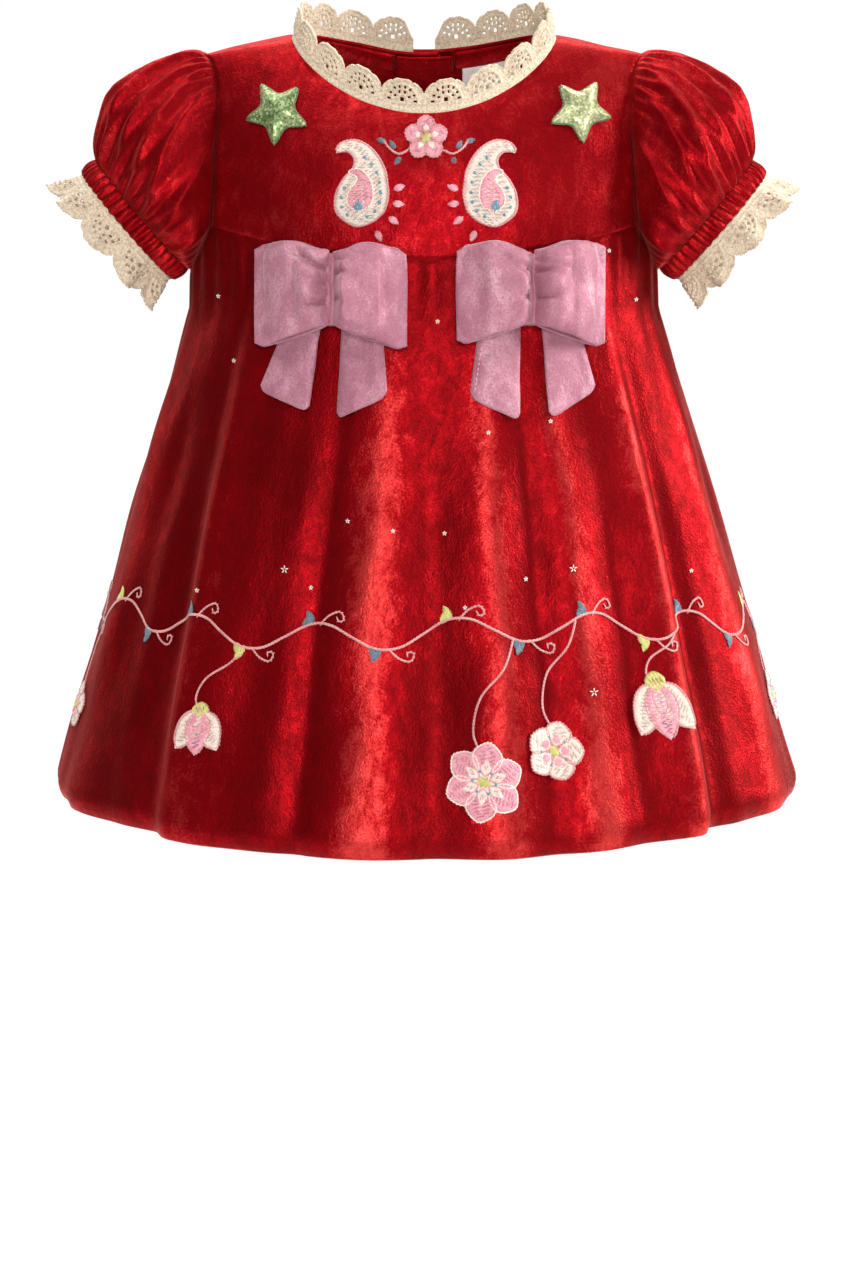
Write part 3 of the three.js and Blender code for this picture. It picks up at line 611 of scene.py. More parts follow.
def yokePanel(name, share, up, back, dipped=False):
    x, z = yokePlace(share, up, back)
    outer = yokePoint(x, z, np.full(x.shape, back))
    normals = yokeNormal(x, z, np.full(x.shape, back))
    if dipped:
        outer = outer - normals * lapDip(x)[..., None]
    half = cloth["gap"] / 2
    atTop = (up > 0.999) & (np.abs(outer[..., 1]) < 1)
    outer[..., 1] = np.where(atTop, half if back else -half, outer[..., 1])
    outer[..., 2] += np.where(up < 0.001, half, 0)
    waves = 0.35 * wobble(x, z, 38, 5) * ease(0, 0.1, up) * ease(0, 0.1, 1 - up)
    outer = outer + normals * waves[..., None]
    inner = outer - normals * cloth["velvet"]
    return clothSolid(name, outer, inner, velvet)


def makeYokes():
    u, v = gridShares(yokeDetail["across"], yokeDetail["down"])
    front = yokePanel("front_yoke_velvet", 2 * u - 1, 1 - v, False)
    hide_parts("front_yoke")
    panels = [front]
    u, v = gridShares(yokeDetail["across"] // 2 + 6, yokeDetail["down"])
    past = lap["past"] / armhole["corner"]
    share = np.where(u < 1 / 3, mix(1, neck["share"], u * 3), mix(neck["share"], -past, (u - 1 / 3) * 1.5))
    for side, word in ((-1, "left"), (1, "right")):
        panel = yokePanel(f"back_yoke_{word}_velvet", side * share, 1 - v, True, side < 0)
        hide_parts(f"back_yoke_{word}")
        panels.append(panel)
    return panels


yokes = makeYokes()
print("yoke made")

# Skirt: a front and a back panel, gathered into the yoke seam, with the hem turned up inside
skirt = {"columns": 176, "rows": 84, "turnUp": 22, "turnUpThickness": 1.2}


def paintCrestLight(piece):
    # How near each point is to the crest of a fold, painted into the velvet's colour as a painted highlight
    # on the crests and painted shade between them
    x, y, z = 1000 * np.array([point.co for point in piece.data.vertices]).T
    halfWidth, depth = bodySize(z, y > 0)
    angle = np.degrees(np.arctan2(x / halfWidth, -y / depth))
    share = np.clip((body["seam"] - z) / (body["seam"] - body["hem"]), 0, 1)
    paintedGleam = np.zeros(len(z))
    for fold in skirtFolds:
        near = np.exp(-((awayFrom(fold, angle, share) / paintedCrestLight["spread"]) ** 2))
        paintedGleam = np.maximum(paintedGleam, fold[5] * near)
    paintedLight = paintedCrestLight["low"] + paintedCrestLight["full"] * paintedGleam * ease(-0.1, 0.5, share)
    # the crest attribute holds the painted highlight and painted shade
    layer = piece.data.attributes.new("crest", "FLOAT", "POINT")
    layer.data.foreach_set("value", paintedLight.tolist())


def makeSkirt(word, middle):
    u, v = gridShares(skirt["columns"], skirt["rows"])
    edge = 90 - body["sideTurn"]
    angle = middle + edge * (2 * u - 1)
    top, foot = skirtTop(angle) - cloth["gap"] / 2, hemHeight(angle)
    z = mix(top, foot, v)
    outer = skirtPoint(angle, z)
    normals = skirtNormal(angle, z)
    turned = ease(-1, 1, (foot + skirt["turnUp"] - z) / 1.5)
    inner = outer - normals * (cloth["velvet"] + skirt["turnUpThickness"] * turned)[..., None]
    piece = clothSolid(f"skirt_{word}_velvet", outer, inner, skirtVelvet)
    paintCrestLight(piece)
    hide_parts(f"skirt_{word}")
    return piece


skirts = [makeSkirt("front", 0), makeSkirt("back", 180)]
print("skirt made")

# Sleeves: the cuff's place, tilt and size, and how far the puff swells round it
cuff = {
    "across": 152,
    "height": -95,
    "tilt": 40.5,
    "long": 36,
    "deep": 27,
    "band": 10,
    "ribs": 40,
    "ribDepth": 2.1,
    "crown": 0.6,
}
puff = {"top": 17, "front": 15, "under": 0.4, "back": 14, "rise": 0.65, "outer": 4.5}
sleeveDetail = {"around": 264, "down": 50, "headGap": 1.1, "pucker": 2.4, "headGathers": 44}
sleeveFolds = [  # the share round the sleeve at the head and at the cuff, the size, and the spread
    (0.012, 0.03, 4.6, 0.015),
    (0.042, 0.1, 6.0, 0.016),
    (0.075, 0.155, 4.6, 0.014),
    (0.11, 0.215, 6.2, 0.019),
    (0.155, 0.262, 4.8, 0.018),
    (0.25, 0.305, 4.4, 0.02),
    (0.33, 0.36, 3.4, 0.02),
    (0.41, 0.42, 2.0, 0.02),
    (0.59, 0.58, 2.0, 0.02),
    (0.67, 0.64, 3.4, 0.02),
    (0.755, 0.695, 4.4, 0.02),
    (0.845, 0.738, 4.8, 0.018),
    (0.885, 0.785, 5.8, 0.019),
    (0.925, 0.845, 4.6, 0.014),
    (0.958, 0.9, 5.6, 0.016),
    (0.986, 0.965, 4.6, 0.015),
]


def cuffGrow(side, u, v):
    drift = 0.004 * wobble(u * 9, 2.2 + 0 * v, 2.6, 21 + side)
    rib = 0.5 + 0.5 * np.cos(2 * math.pi * (cuff["ribs"] * u + 3 * drift) + 0.5 * v)
    strength = 1 + 0.2 * wobble(u * 40, v, 3, 31 + side)
    grow = cuff["ribDepth"] * strength * rib**0.8 * (0.8 + 0.2 * np.sin(math.pi * v))
    return grow - 0.3 + cuff["crown"] * np.sin(math.pi * v)


def sleeveWays(side):
    tilt = math.radians(cuff["tilt"])
    axis = np.array([side * math.cos(tilt), 0, -math.sin(tilt)])
    return axis, np.array([side * math.sin(tilt), 0, math.cos(tilt)])


def cuffPoint(side, turnShare, along, grow):
    turn = 2 * math.pi * turnShare
    axis, up = sleeveWays(side)
    centre = np.array([side * cuff["across"], 0, cuff["height"]])
    along, grow, turn = np.broadcast_arrays(along, grow, turn)
    high = (cuff["long"] + grow) * np.cos(turn)
    out = -(cuff["deep"] + grow) * np.sin(turn)
    return centre + axis * along[..., None] + up * high[..., None] + stack(0, out, 0)


def armholePlace(side, turnShare):
    back = turnShare >= 0.5
    along = np.where(back, 2 * (1 - turnShare), 2 * turnShare)
    edgeShare = armhole["yokeShare"]
    x, z = yokePlace(np.full(along.shape, float(side)), 1 - np.minimum(1, along / edgeShare), back)
    onYoke, yokeOut = yokePoint(x, z, back), yokeNormal(x, z, back)
    share = np.clip((along - edgeShare) / (1 - edgeShare), 0, 1)
    angle = mix(cornerAngle, 90, share) * side
    angle = np.where(back, 180 * side - angle, angle)
    level = skirtTop(angle)
    low = (along > edgeShare)[..., None]
    at = np.where(low, skirtPoint(angle, level), onYoke)
    return at, np.where(low, skirtNormal(angle, level), yokeOut)


def sleeveHead(side, turnShare, depth):
    at, normal = armholePlace(side, turnShare)
    near = np.minimum(turnShare, 1 - turnShare)
    low = ease(0.3, 0.5, near)
    crown = 1 - ease(0, 0.1, near)
    clear = stack(side * (2 * cloth["gap"] * (1 - low) + sleeveDetail["headGap"] * crown), 0, -1.5 * low)
    inward = normal * (0.9 * low + depth * (1 - 0.8 * low))[..., None]
    return at + clear - inward


def sleeveFoldAt(side, u, v):
    # Long folds run from the head to the cuff, where they part into the gathers of the casing.
    drift = 0.004 * wobble(u * 9, v * 2.2, 2.6, 21 + side)
    long = 0
    for head, foot, size, spread in sleeveFolds:
        away = u + drift - mix(head, foot, v)
        away = away - np.round(away)
        width = spread * mix(0.75, 1.15, np.sin(math.pi * v))
        strength = size * (1 + 0.25 * math.sin(57 * head + side))
        long = long + strength * np.exp(-np.abs(away / width) ** 1.35)
    split = 0.5 + 0.5 * np.cos(2 * math.pi * (cuff["ribs"] * u / 2 + 8 * drift))
    ribs = 0.5 + 0.5 * np.cos(2 * math.pi * (cuff["ribs"] * u + 3 * drift))
    near = np.minimum(u, 1 - u)
    head = 0.5 + 0.5 * np.cos(2 * math.pi * (sleeveDetail["headGathers"] * u + 10 * drift))
    out = (long - 2.6) * np.sin(math.pi * np.clip(v, 0, 1)) ** 0.6
    out = out + 1.5 * (split - 0.4) * ease(0.5, 0.85, v) * (1 - ease(0.9, 1, v))
    out = out + 1.5 * (ribs - 0.5) * ease(0.74, 0.95, v) * ease(0, 0.05, 1 - v)
    puckers = sleeveDetail["pucker"] * (head - 0.5) * (1 - ease(0.04, 0.3, v)) * ease(0, 0.03, v)
    return out + puckers * (1 - ease(0.12, 0.24, near))


def makeSleeve(side, word):
    u, v = gridShares(sleeveDetail["around"], sleeveDetail["down"], True)
    near = np.minimum(u, 1 - u)
    low = ease(0.3, 0.5, near)
    turn = 2 * math.pi * u
    faceSwell = np.where(np.sin(turn) >= 0, puff["front"], puff["back"])
    ends = (puff["top"] + puff["under"]) / 2 + (puff["top"] - puff["under"]) / 2 * np.cos(turn)
    swell = mix(ends, faceSwell, np.sin(turn) ** 2) * np.sin(math.pi * v) ** puff["rise"]
    outerSide = puff["outer"] * np.exp(-(((v - 0.66) / 0.22) ** 2)) * (1 - ease(0.05, 0.3, near))
    out = swell + outerSide + sleeveFoldAt(side, u, v) * (1 - 0.8 * low)
    axis, up = sleeveWays(side)
    outward = up * np.cos(turn)[..., None] + stack(0, -np.sin(turn), 0)
    outward[..., 0] = side * np.maximum(0, side * outward[..., 0])
    half = cuffGrow(side, u, 0 * v) + 0.1
    alongEnd = -cuff["band"] / 2 + cloth["gap"]
    head = [sleeveHead(side, u, np.full(u.shape, depth)) for depth in (0.0, cloth["velvet"])]
    foot = [cuffPoint(side, u, alongEnd, half - depth) for depth in (0.0, cloth["velvet"])]
    outer = mix(head[0], foot[0], v[..., None]) + outward * out[..., None]
    normals = gridNormals(outer, True)
    ends = mix(head[1] - head[0], foot[1] - foot[0], v[..., None])
    atEnd = np.maximum(low, 1 - ease(0, 0.03, v) * ease(0, 0.03, 1 - v))[..., None]
    inner = outer + mix(-normals * cloth["velvet"], ends, atEnd)
    piece = clothSolid(f"sleeve_{word}_velvet", outer, inner, velvet, ring=True)
    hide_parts(f"sleeve_{word}")
    return piece


def makeCuff(side, word):
    u, v = gridShares(cuff["ribs"] * 7, 8, True)
    along = mix(-cuff["band"] / 2, cuff["band"] / 2, v)
    outer = cuffPoint(side, u, along, cuffGrow(side, u, v))
    inner = cuffPoint(side, u, along, np.full(u.shape, -cloth["velvet"]))
    piece = clothSolid(f"cuff_{word}_velvet", outer, inner, velvet, ring=True)
    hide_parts(f"cuff_{word}")
    return piece


sleeves = [makeSleeve(-1, "left"), makeSleeve(1, "right")]
cuffs = [makeCuff(-1, "left"), makeCuff(1, "right")]
print("sleeves and cuffs made")

# Lace: a strip of threads on a fine grid, whose open places are left out. Each motif fills one scallop.
neckLace = {
    "scallops": 18,
    "valley": 10,
    "peak": 16.5,
    "lean": 4.5,
    "lift": 0.45,
    "opening": 6,
    "endDrop": 0.45,
    "sewn": 2.2,
}
cuffLace = {"scallops": 9, "fall": 19.5, "scallop": 5.5, "flare": 4.5, "wave": 2.6}
laceGrain = 0.5
laceThickness = 0.8
laceRelief = 1.2


def scallop(place):
    return np.abs(np.sin(math.pi * place)) ** 0.6


def laceThreads(place, rise, height, pitch):
    # Where the lace has thread, and how far the thread stands out, for places counted in scallops. Each
    # scallop has a fan of cords over a round eye, on a close ground with small holes.
    x = (place - np.floor(place) - 0.5) * pitch
    fromEdge = height - rise
    ground = 0.1 + 0.08 * np.sin(x * 4.4 + rise * 2.2) * np.sin(rise * 4.6 - x)
    eye = 0.34 * height
    radius = np.hypot(x * 0.92, rise - eye)
    turn = np.arctan2(rise - eye, x)
    cords = 0.0
    for ring in (2.4, 5.1, 7.6):
        cords = np.maximum(cords, np.exp(-(((radius - ring) / 0.5) ** 2)) * (rise > eye - 1))
    rays = np.exp(-((np.sin(turn * 8) / 0.5) ** 2)) * (radius > 2.6) * (radius < 4.8) * (rise > eye - 0.5)
    edge = np.exp(-(((fromEdge - 0.8) / 0.6) ** 2))
    foot = np.maximum(np.exp(-(((rise - 0.9) / 0.6) ** 2)), 0.7 * np.exp(-(((rise - 3.4) / 0.4) ** 2)))
    thread = np.maximum.reduce([ground, 0.95 * cords, 0.6 * rays, 0.9 * edge, 0.8 * foot])
    holeRing = np.abs(radius - 6.35) + 2.2 * np.abs(np.sin(turn * 7))
    holes = (holeRing < 0.8) & (rise > eye)
    innerRing = np.abs(radius - 3.75) + 1.8 * np.abs(np.cos(turn * 4))
    holes |= (radius < 0.7) | ((innerRing < 0.7) & (rise > eye))
    holes &= fromEdge > 1.8
    return ~holes & (rise <= height), thread


def laceMesh(name, cells, outer, inner, ring):
    # Both faces of every kept cell, and a wall wherever a kept cell meets a hole or the edge
    columns, rows = outer.shape[:2]
    index = np.arange(columns * rows).reshape(columns, rows)
    nextIndex = np.roll(index, -1, axis=0)
    span = cells.shape[0]
    a, b = index[:span, :-1], nextIndex[:span, :-1]
    c, d = nextIndex[:span, 1:], index[:span, 1:]
    total = columns * rows
    faces = []
    quads = np.stack([a, b, c, d], axis=-1)[cells]
    faces += quads.tolist()
    faces += (quads[:, ::-1] + total).tolist()
    left = np.roll(cells, 1, axis=0)
    right = np.roll(cells, -1, axis=0)
    if not ring:
        left[0], right[-1] = False, False
    below = np.pad(cells, ((0, 0), (1, 0)))[:, :-1]
    above = np.pad(cells, ((0, 0), (0, 1)))[:, 1:]
    for bare, first, second in ((~left, d, a), (~right, b, c), (~below, a, b), (~above, c, d)):
        rim = cells & bare
        p, q = first[rim], second[rim]
        faces += np.stack([q, p, p + total, q + total], axis=-1).tolist()
    points = np.concatenate([outer.reshape(-1, 3), inner.reshape(-1, 3)])
    used = np.unique(np.array(faces))
    renumber = np.zeros(2 * total, int)
    renumber[used] = np.arange(len(used))
    return addMesh(name, points[used], renumber[np.array(faces)].tolist(), lace)


def softenMesh(piece, times, factor):
    work = bmesh.new()
    work.from_mesh(piece.data)
    for _ in range(times):
        bmesh.ops.smooth_vert(
            work, verts=work.verts, factor=factor, use_axis_x=True, use_axis_y=True, use_axis_z=True
        )
    work.to_mesh(piece.data)
    work.free()


def makeNeckLace():
    opening = 180 - math.degrees(math.asin(neckLace["opening"] / neck["halfWidth"]))
    columns = int(round(neckLace["scallops"] * 23 / laceGrain))
    top = neckLace["peak"] + 1
    rows = int(round(top / laceGrain))
    u, v = gridShares(columns, rows)
    rise = v * top
    sewn = neckLace["sewn"] * (1 - ease(0, 0.12, v))
    turn = np.radians(mix(-opening, opening, u))
    back = np.cos(turn) < 0
    x = neck["halfWidth"] * np.sin(turn)
    inward = stack(-np.sin(turn), np.cos(turn), 0)
    dip = np.where(back & (x < 0), lapDip(x), 0)[..., None]
    foot = yokePoint(x, neckHeight(x, back), back) + inward * dip
    endDrop = 1 - ease(0.97, 1, np.abs(2 * u - 1)) * neckLace["endDrop"]
    place = u * neckLace["scallops"]
    bumps = 0.6 * np.abs(np.sin(4 * math.pi * place)) - 0.5
    height = (mix(neckLace["valley"], neckLace["peak"], scallop(place)) + bumps) * endDrop
    keep, thread = laceThreads(place, rise, height, 23)
    lean = neckLace["lean"] * v
    waves = (0.9 * np.cos(2 * math.pi * place) + 0.5 * wobble(place, v, 2.6, 8)) * v
    raised = foot + inward * (lean + waves)[..., None] + stack(0, 0, neckLace["lift"] + rise - sewn)
    outer = raised + inward * (0.35 - laceRelief * thread)[..., None]
    inner = raised + inward * (laceThickness + 0.35 * thread)[..., None]
    cells = keep[:-1, :-1] & keep[1:, :-1] & keep[:-1, 1:] & keep[1:, 1:]
    piece = laceMesh("neck_lace_threads", cells, outer, inner, False)
    softenMesh(piece, 1, 0.25)
    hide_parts("neck_lace")
    return piece


def makeCuffLace(side, word):
    columns = int(round(200 / laceGrain))
    rows = int(round(cuffLace["fall"] / laceGrain))
    u, v = gridShares(columns, rows, True)
    rise = v * cuffLace["fall"]
    place = u * cuffLace["scallops"] + 0.5
    bumps = 0.6 * np.abs(np.sin(4 * math.pi * place)) - 0.6
    height = cuffLace["fall"] - cuffLace["scallop"] * (1 - scallop(place)) + bumps
    keep, thread = laceThreads(place, rise, height, 22)
    ruffle = -np.cos(2 * math.pi * place) + 0.45 * np.cos(4 * math.pi * place)
    ruffle = ruffle + 0.3 * wobble(place, v, 3, 14 + side)
    grow = -cloth["velvet"] * 0.5 + cuffLace["flare"] * v + cuffLace["wave"] * v**0.7 * ruffle
    along = cuff["band"] / 2 + cloth["gap"] + rise
    outer = cuffPoint(side, u, along, grow + laceRelief * thread)
    inner = cuffPoint(side, u, along, grow - laceThickness)
    cells = keep & np.roll(keep, -1, axis=0)
    cells = cells[:, :-1] & cells[:, 1:]
    piece = laceMesh(f"cuff_lace_{word}_threads", cells, outer, inner, True)
    softenMesh(piece, 1, 0.25)
    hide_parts(f"cuff_lace_{word}")
    return piece


laces = [makeNeckLace(), makeCuffLace(-1, "left"), makeCuffLace(1, "right")]
print("lace made")

# Inside the back of the neck: the placket's facing, the neck binding and a blank label
inside = {"placketHalf": 15, "thickness": 1, "lift": 0.6}
binding = {"width": 7, "near": 17, "far": 54, "below": 0.6}
tape = {"left": 21, "right": 50, "drop": 20, "tilt": 1.5}


def bindingHeight(x, up):
    return neckHeight(x, True) - binding["below"] - binding["width"] * (1 - up)


def insideStrip(name, x, z, depth, thickness, material):
    back = np.full(x.shape, True)
    at, normal = yokePoint(x, z, back), yokeNormal(x, z, back)
    outer = at - normal * depth[..., None]
    inner = at - normal * (depth + thickness)[..., None]
    return clothSolid(name, outer, inner, material)


def makeInside():
    u, v = gridShares(24, 60)
    x = mix(-inside["placketHalf"], inside["placketHalf"], u)
    z = mix(seamHeight(0, True) + 2, neckHeight(x, True) - 1, v)
    depth = np.full(x.shape, cloth["velvet"] + lap["step"] + inside["lift"])
    facing = insideStrip("back_placket_facing", x, z, depth, np.full(x.shape, inside["thickness"]), velvet)
    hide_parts("back_placket")
    pieces = [facing]
    for side, word in ((-1, "left"), (1, "right")):
        u, v = gridShares(50, 14)
        x = side * mix(binding["near"], binding["far"], u)
        z = bindingHeight(x, v)
        depth = cloth["velvet"] + inside["lift"] + (lapDip(x) if side < 0 else 0 * x)
        crown = inside["thickness"] + 1.1 * np.sin(math.pi * v) ** 0.6
        piece = insideStrip(f"neck_binding_{word}_tube", x, z, depth, crown, velvet)
        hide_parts(f"neck_binding_{word}")
        pieces.append(piece)
    u, v = gridShares(36, 26)
    x = mix(tape["left"], tape["right"], u)
    foot = bindingHeight(tape["left"], 0) - tape["drop"]
    z = mix(foot + tape["tilt"] * u, bindingHeight(x, 0) - cloth["gap"], v)
    depth = cloth["velvet"] + inside["lift"] + 0 * x
    thickness = inside["thickness"] + 0.3 * wobble(x, z, 30, 3) ** 2
    piece = insideStrip("neck_label_tape", x, z, depth, thickness, labelTape)
    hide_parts("neck_label")
    pieces.append(piece)
    return pieces


insides = makeInside()
print("inside of the neck made")

# Buttons: velvet-covered, domed, on the lapped centre of the back
button = {"radius": 5.5, "height": 2.6, "levels": (-22, -54, -86)}


def makeButton(number, level):
    radius = button["radius"] * np.array([0.02, 0.5, 0.9, 1, 0.99, 0.93, 0.8, 0.62, 0.42, 0.22, 0.02])
    rise = button["height"] * np.array([0, 0, 0, 0.2, 0.42, 0.63, 0.8, 0.9, 0.96, 0.99, 1])
    back = np.array([True])
    normal = yokeNormal(np.array([0.0]), np.array([float(level)]), back)[0]
    seat = yokePoint(np.array([0.0]), np.array([float(level)]), back)[0] + normal * cloth["gap"]
    across = np.array([1.0, 0, 0])
    upward = unit(np.cross(normal, across))
    turn = np.linspace(0, 2 * math.pi, 40, endpoint=False)
    ring = across * np.cos(turn)[:, None] + upward * np.sin(turn)[:, None]
    loops = seat + ring[None] * radius[:, None, None] + normal * rise[:, None, None]
    piece = closedTube(f"button_{number}_cover", loops, velvet)
    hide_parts(f"button_{number}")
    return piece


buttons = [makeButton(k + 1, level) for k, level in enumerate(button["levels"])]
print("buttons made")

# Bows: the knot, then the loops' reach and heights and the tails' corners from the knot's centre
knot = {"halfWidth": 4.2, "halfHeight": 18.5, "back": 2.4, "depth": 8, "endTaper": 0.3}
loopShape = {
    "start": 0.8,
    "back": 3.3,
    "knotDepth": 8,
    "fullDepth": 12.5,
    "foldDepth": 5,
    "ribbon": 1.4,
    "corner": 2.2,
}
bowCreases = {  # each crease's height and slant, its depth and how far out it reaches, from the knot
    "bow_left_loop_left": [(0.72, 0.5, 6.5, 0.62), (0.30, 0.02, 6.0, 0.36), (0.52, 0.3, 2.2, 0.3)],
    "bow_left_loop_right": [(0.70, 0.02, 6.2, 0.42), (0.36, -0.2, 4.6, 0.34), (0.9, -0.1, 1.5, 0.5)],
    "bow_right_loop_left": [(0.74, 0.1, 6.2, 0.34), (0.36, -0.05, 6.2, 0.36), (0.5, 0.75, 2.8, 0.95)],
    "bow_right_loop_right": [(0.70, 0.03, 6.4, 0.4), (0.34, 0.2, 5.4, 0.4), (0.86, -0.4, 2.0, 0.7)],
}
tailShape = {"lift": 0.8, "thickness": 2.2, "corner": 0.07}
bows = {
    "left": {
        "centre": (-46.8, -128),
        "loops": [(-1, 38.6, 20, -18, 22, -31, 24.5), (1, 37.6, 19, -18, 20.5, -31, 24)],
        "tails": [
            (-1, (5.4, -11), (23, -16), (12, -62.5), (38, -51.5)),
            (1, (5.4, -11), (25, -17), (2.4, -66), (28, -53)),
        ],
    },
    "right": {
        "centre": (54.6, -128),
        "loops": [(-1, 37.8, 19, -17, 22, -28, 25), (1, 36.8, 20, -18, 23, -31, 24.5)],
        "tails": [
            (-1, (5.4, -11), (26, -16), (6, -66.5), (31, -54)),
            (1, (5.4, -11), (24, -17), (9, -66), (34, -51.5)),
        ],
    },
}


def makeLoop(name, centre, loop, seed, creases):
    side, reachTo, knotTop, knotLow, top, low, middle = loop
    near = loopShape["start"]

    def surface(u, v, inset):
        turn = 2 * math.pi * u
        share = (1 - np.cos(turn)) / 2
        depth = mix(loopShape["knotDepth"], loopShape["fullDepth"], ease(0, 0.15, share))
        depth = mix(depth, loopShape["foldDepth"], ease(0.5, 1, share))
        reach = mix(near + inset, reachTo - inset, share)
        bulge = np.sign(np.sin(turn)) * np.abs(np.sin(turn)) ** 0.7
        lift = loopShape["back"] + depth / 2 + (depth / 2 - inset) * bulge
        high = mix(mix(knotTop, middle, ease(0, 0.5, share)), top, ease(0.5, 1, share))
        foot = mix(knotLow, low, share**0.8)
        rounded = loopShape["corner"] * ease(1 - 2.6 * loopShape["corner"] / reachTo, 1, share) ** 2
        rise = mix(foot + rounded, high - rounded, v)
        frontSide = ease(0, 0.35, np.sin(turn))
        puffed = 5.6 * np.exp(-(((share - 0.2) / 0.15) ** 2)) * (1 - np.abs(2 * v - 1) ** 2.4)
        crease = 0
        for level, slant, size, length in creases:
            gap = np.abs(v - level - slant * share) / (0.03 + 0.17 * share)
            crease = crease - size * np.exp(-(gap**1.5)) * (1 - ease(0.06, length, share))
        rolled = -3.6 * np.abs(2 * v - 1) ** 6 * ease(0.02, 0.3, share)
        soft = 0.6 * wobble(share * 40, v * 40, 24, seed) * ease(0.1, 0.4, share)
        least = loopShape["back"] + 2 * loopShape["ribbon"] + 0.6 - inset  # clear of the wall behind it
        moved = np.maximum(puffed + crease + rolled + soft, np.minimum(0, least - lift))
        lift = lift + frontSide * moved
        return onFront(centre[0] + side * reach, centre[1] + rise, lift, True)

    u, v = gridShares(100, 48, True)
    outer, inner = surface(u, v, 0), surface(u, v, loopShape["ribbon"])
    piece = clothSolid(f"{name}_ribbon", outer, inner, ribbonVelvet, ring=True)
    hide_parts(name)
    return piece


def makeKnot(name, centre):
    up, across = gridShares(36, 40)
    rise = mix(-knot["halfHeight"], knot["halfHeight"], up)
    depth = knot["depth"] * (1 - knot["endTaper"] * (rise / knot["halfHeight"]) ** 2)
    turn = math.pi * across
    creased = 0.5 * np.cos(7 * turn + 0.6 * np.sin(rise / 4)) * np.sin(turn)
    lift = knot["back"] + depth * np.sin(turn) ** 0.8 + creased
    loops = onFront(centre[0] - knot["halfWidth"] * np.cos(turn), centre[1] + rise, lift, True)
    piece = closedTube(f"{name}_ribbon", loops, ribbonVelvet)
    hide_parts(name)
    return piece


def makeTail(name, centre, tail, seed):
    side, innerTop, outerTop, tip, corner = tail
    u, v = gridShares(30, 46)
    length = v * (1 - tailShape["corner"] * np.abs(2 * u - 1) ** 9)  # rounds the lower corners

    def between(k):
        upper = mix(innerTop[k], outerTop[k], u)
        lower = mix(tip[k], corner[k], u)
        return mix(upper, lower, length)

    x, z = centre[0] + side * between(0), centre[1] + between(1)
    at, normal = frontAt(x, z, True)
    soft = 1.5 * np.sin(math.pi * (u * 1.1 + 0.25 * v)) * v**0.6 + 0.5 * wobble(x, z, 24, seed)
    rolled = 1 - 0.5 * np.maximum(np.abs(2 * u - 1) ** 6, v**14)
    base = at + normal * (tailShape["lift"] + np.maximum(0, soft))[..., None]
    outer = base + normal * (tailShape["thickness"] * rolled)[..., None]
    piece = clothSolid(f"{name}_ribbon", outer, base, ribbonVelvet)
    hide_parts(name)
    return piece


def makeBows():
    pieces = []
    for number, (word, bow) in enumerate(bows.items()):
        for loop in bow["loops"]:
            sideWord = "left" if loop[0] < 0 else "right"
            name = f"bow_{word}_loop_{sideWord}"
            pieces.append(makeLoop(name, bow["centre"], loop, 40 + number * 7 + loop[0], bowCreases[name]))
        pieces.append(makeKnot(f"bow_{word}_knot", bow["centre"]))
        for tail in bow["tails"]:
            sideWord = "left" if tail[0] < 0 else "right"
            name = f"bow_{word}_tail_{sideWord}"
            pieces.append(makeTail(name, bow["centre"], tail, 60 + number * 7 + tail[0]))
    return pieces


bowPieces = makeBows()
print("bows made")

# Stars: padded, with a stitched rim, each on one point
star = {
    "radius": 17,
    "waist": 0.5,
    "edge": 1.1,
    "middle": 4.2,
    "slopeWidth": 2.6,
    "lift": 0.8,
    "steps": 14,
    "rings": 26,
    "softened": 5,
}
starPlaces = {"left": (-76, -38, 175), "right": (81, -37, 184)}


def makeStar(word, place):
    x, z, turned = place
    corners = []
    for k in range(10):
        turn = math.radians(90 + turned + 36 * k)
        radius = star["radius"] * (star["waist"] if k % 2 else 1)
        corners.append((radius * math.cos(turn), radius * math.sin(turn)))
    corners = np.array(corners)
    outline = []
    for k in range(10):
        for s in range(star["steps"]):
            outline.append(mix(corners[k], corners[(k + 1) % 10], s / star["steps"]))
    outline = np.array(outline)
    for _ in range(star["softened"]):  # rounds the corners
        outline = (np.roll(outline, 1, axis=0) + 2 * outline + np.roll(outline, -1, axis=0)) / 4
    shares = np.linspace(0, 1, star["rings"])
    flat = outline[None] * shares[:, None, None]
    away = np.full(flat.shape[:2], 1e9)
    for k in range(len(outline)):
        a, b = outline[k], outline[(k + 1) % len(outline)]
        t = np.clip(((flat - a) @ (b - a)) / np.dot(b - a, b - a), 0, 1)
        away = np.minimum(away, np.linalg.norm(flat - a - t[..., None] * (b - a), axis=-1))
    domed = 1 - np.exp(-((away / star["slopeWidth"]) ** 1.3))
    height = star["edge"] + (star["middle"] - star["edge"]) * domed
    over = onFront(x + flat[..., 0], z + flat[..., 1], star["lift"] + height)
    under = onFront(x + flat[..., 0], z + flat[..., 1], np.full(away.shape, star["lift"]))
    loops = np.concatenate([under[1:], over[::-1][:-1]])
    piece = closedTube(f"star_{word}_padded", loops, glitter["deep" if word == "left" else "pale"])
    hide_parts(f"star_{word}")
    return piece, outline


starWays = [makeStar(word, place) for word, place in starPlaces.items()]
print("stars made")


# Embroidery: every stitch is a short rounded strand that follows the cloth under it.
stitching = {"steps": 4, "sides": 5, "lift": 0.3, "cord": 1.85, "satin": 0.66, "longest": 6.5}
threads = {  # dark and light of each thread
    "cream": ((0.62, 0.46, 0.38), (0.86, 0.74, 0.64)),
    "pink": ((0.58, 0.16, 0.22), (0.84, 0.40, 0.46)),
    "blush": ((0.40, 0.12, 0.12), (0.70, 0.33, 0.31)),
    "teal": ((0.03, 0.14, 0.18), (0.12, 0.34, 0.40)),
    "lime": ((0.38, 0.34, 0.07), (0.66, 0.62, 0.20)),
    "leaf": ((0.03, 0.06, 0.09), (0.14, 0.20, 0.25)),
    "olive": ((0.04, 0.07, 0.02), (0.14, 0.19, 0.07)),
}


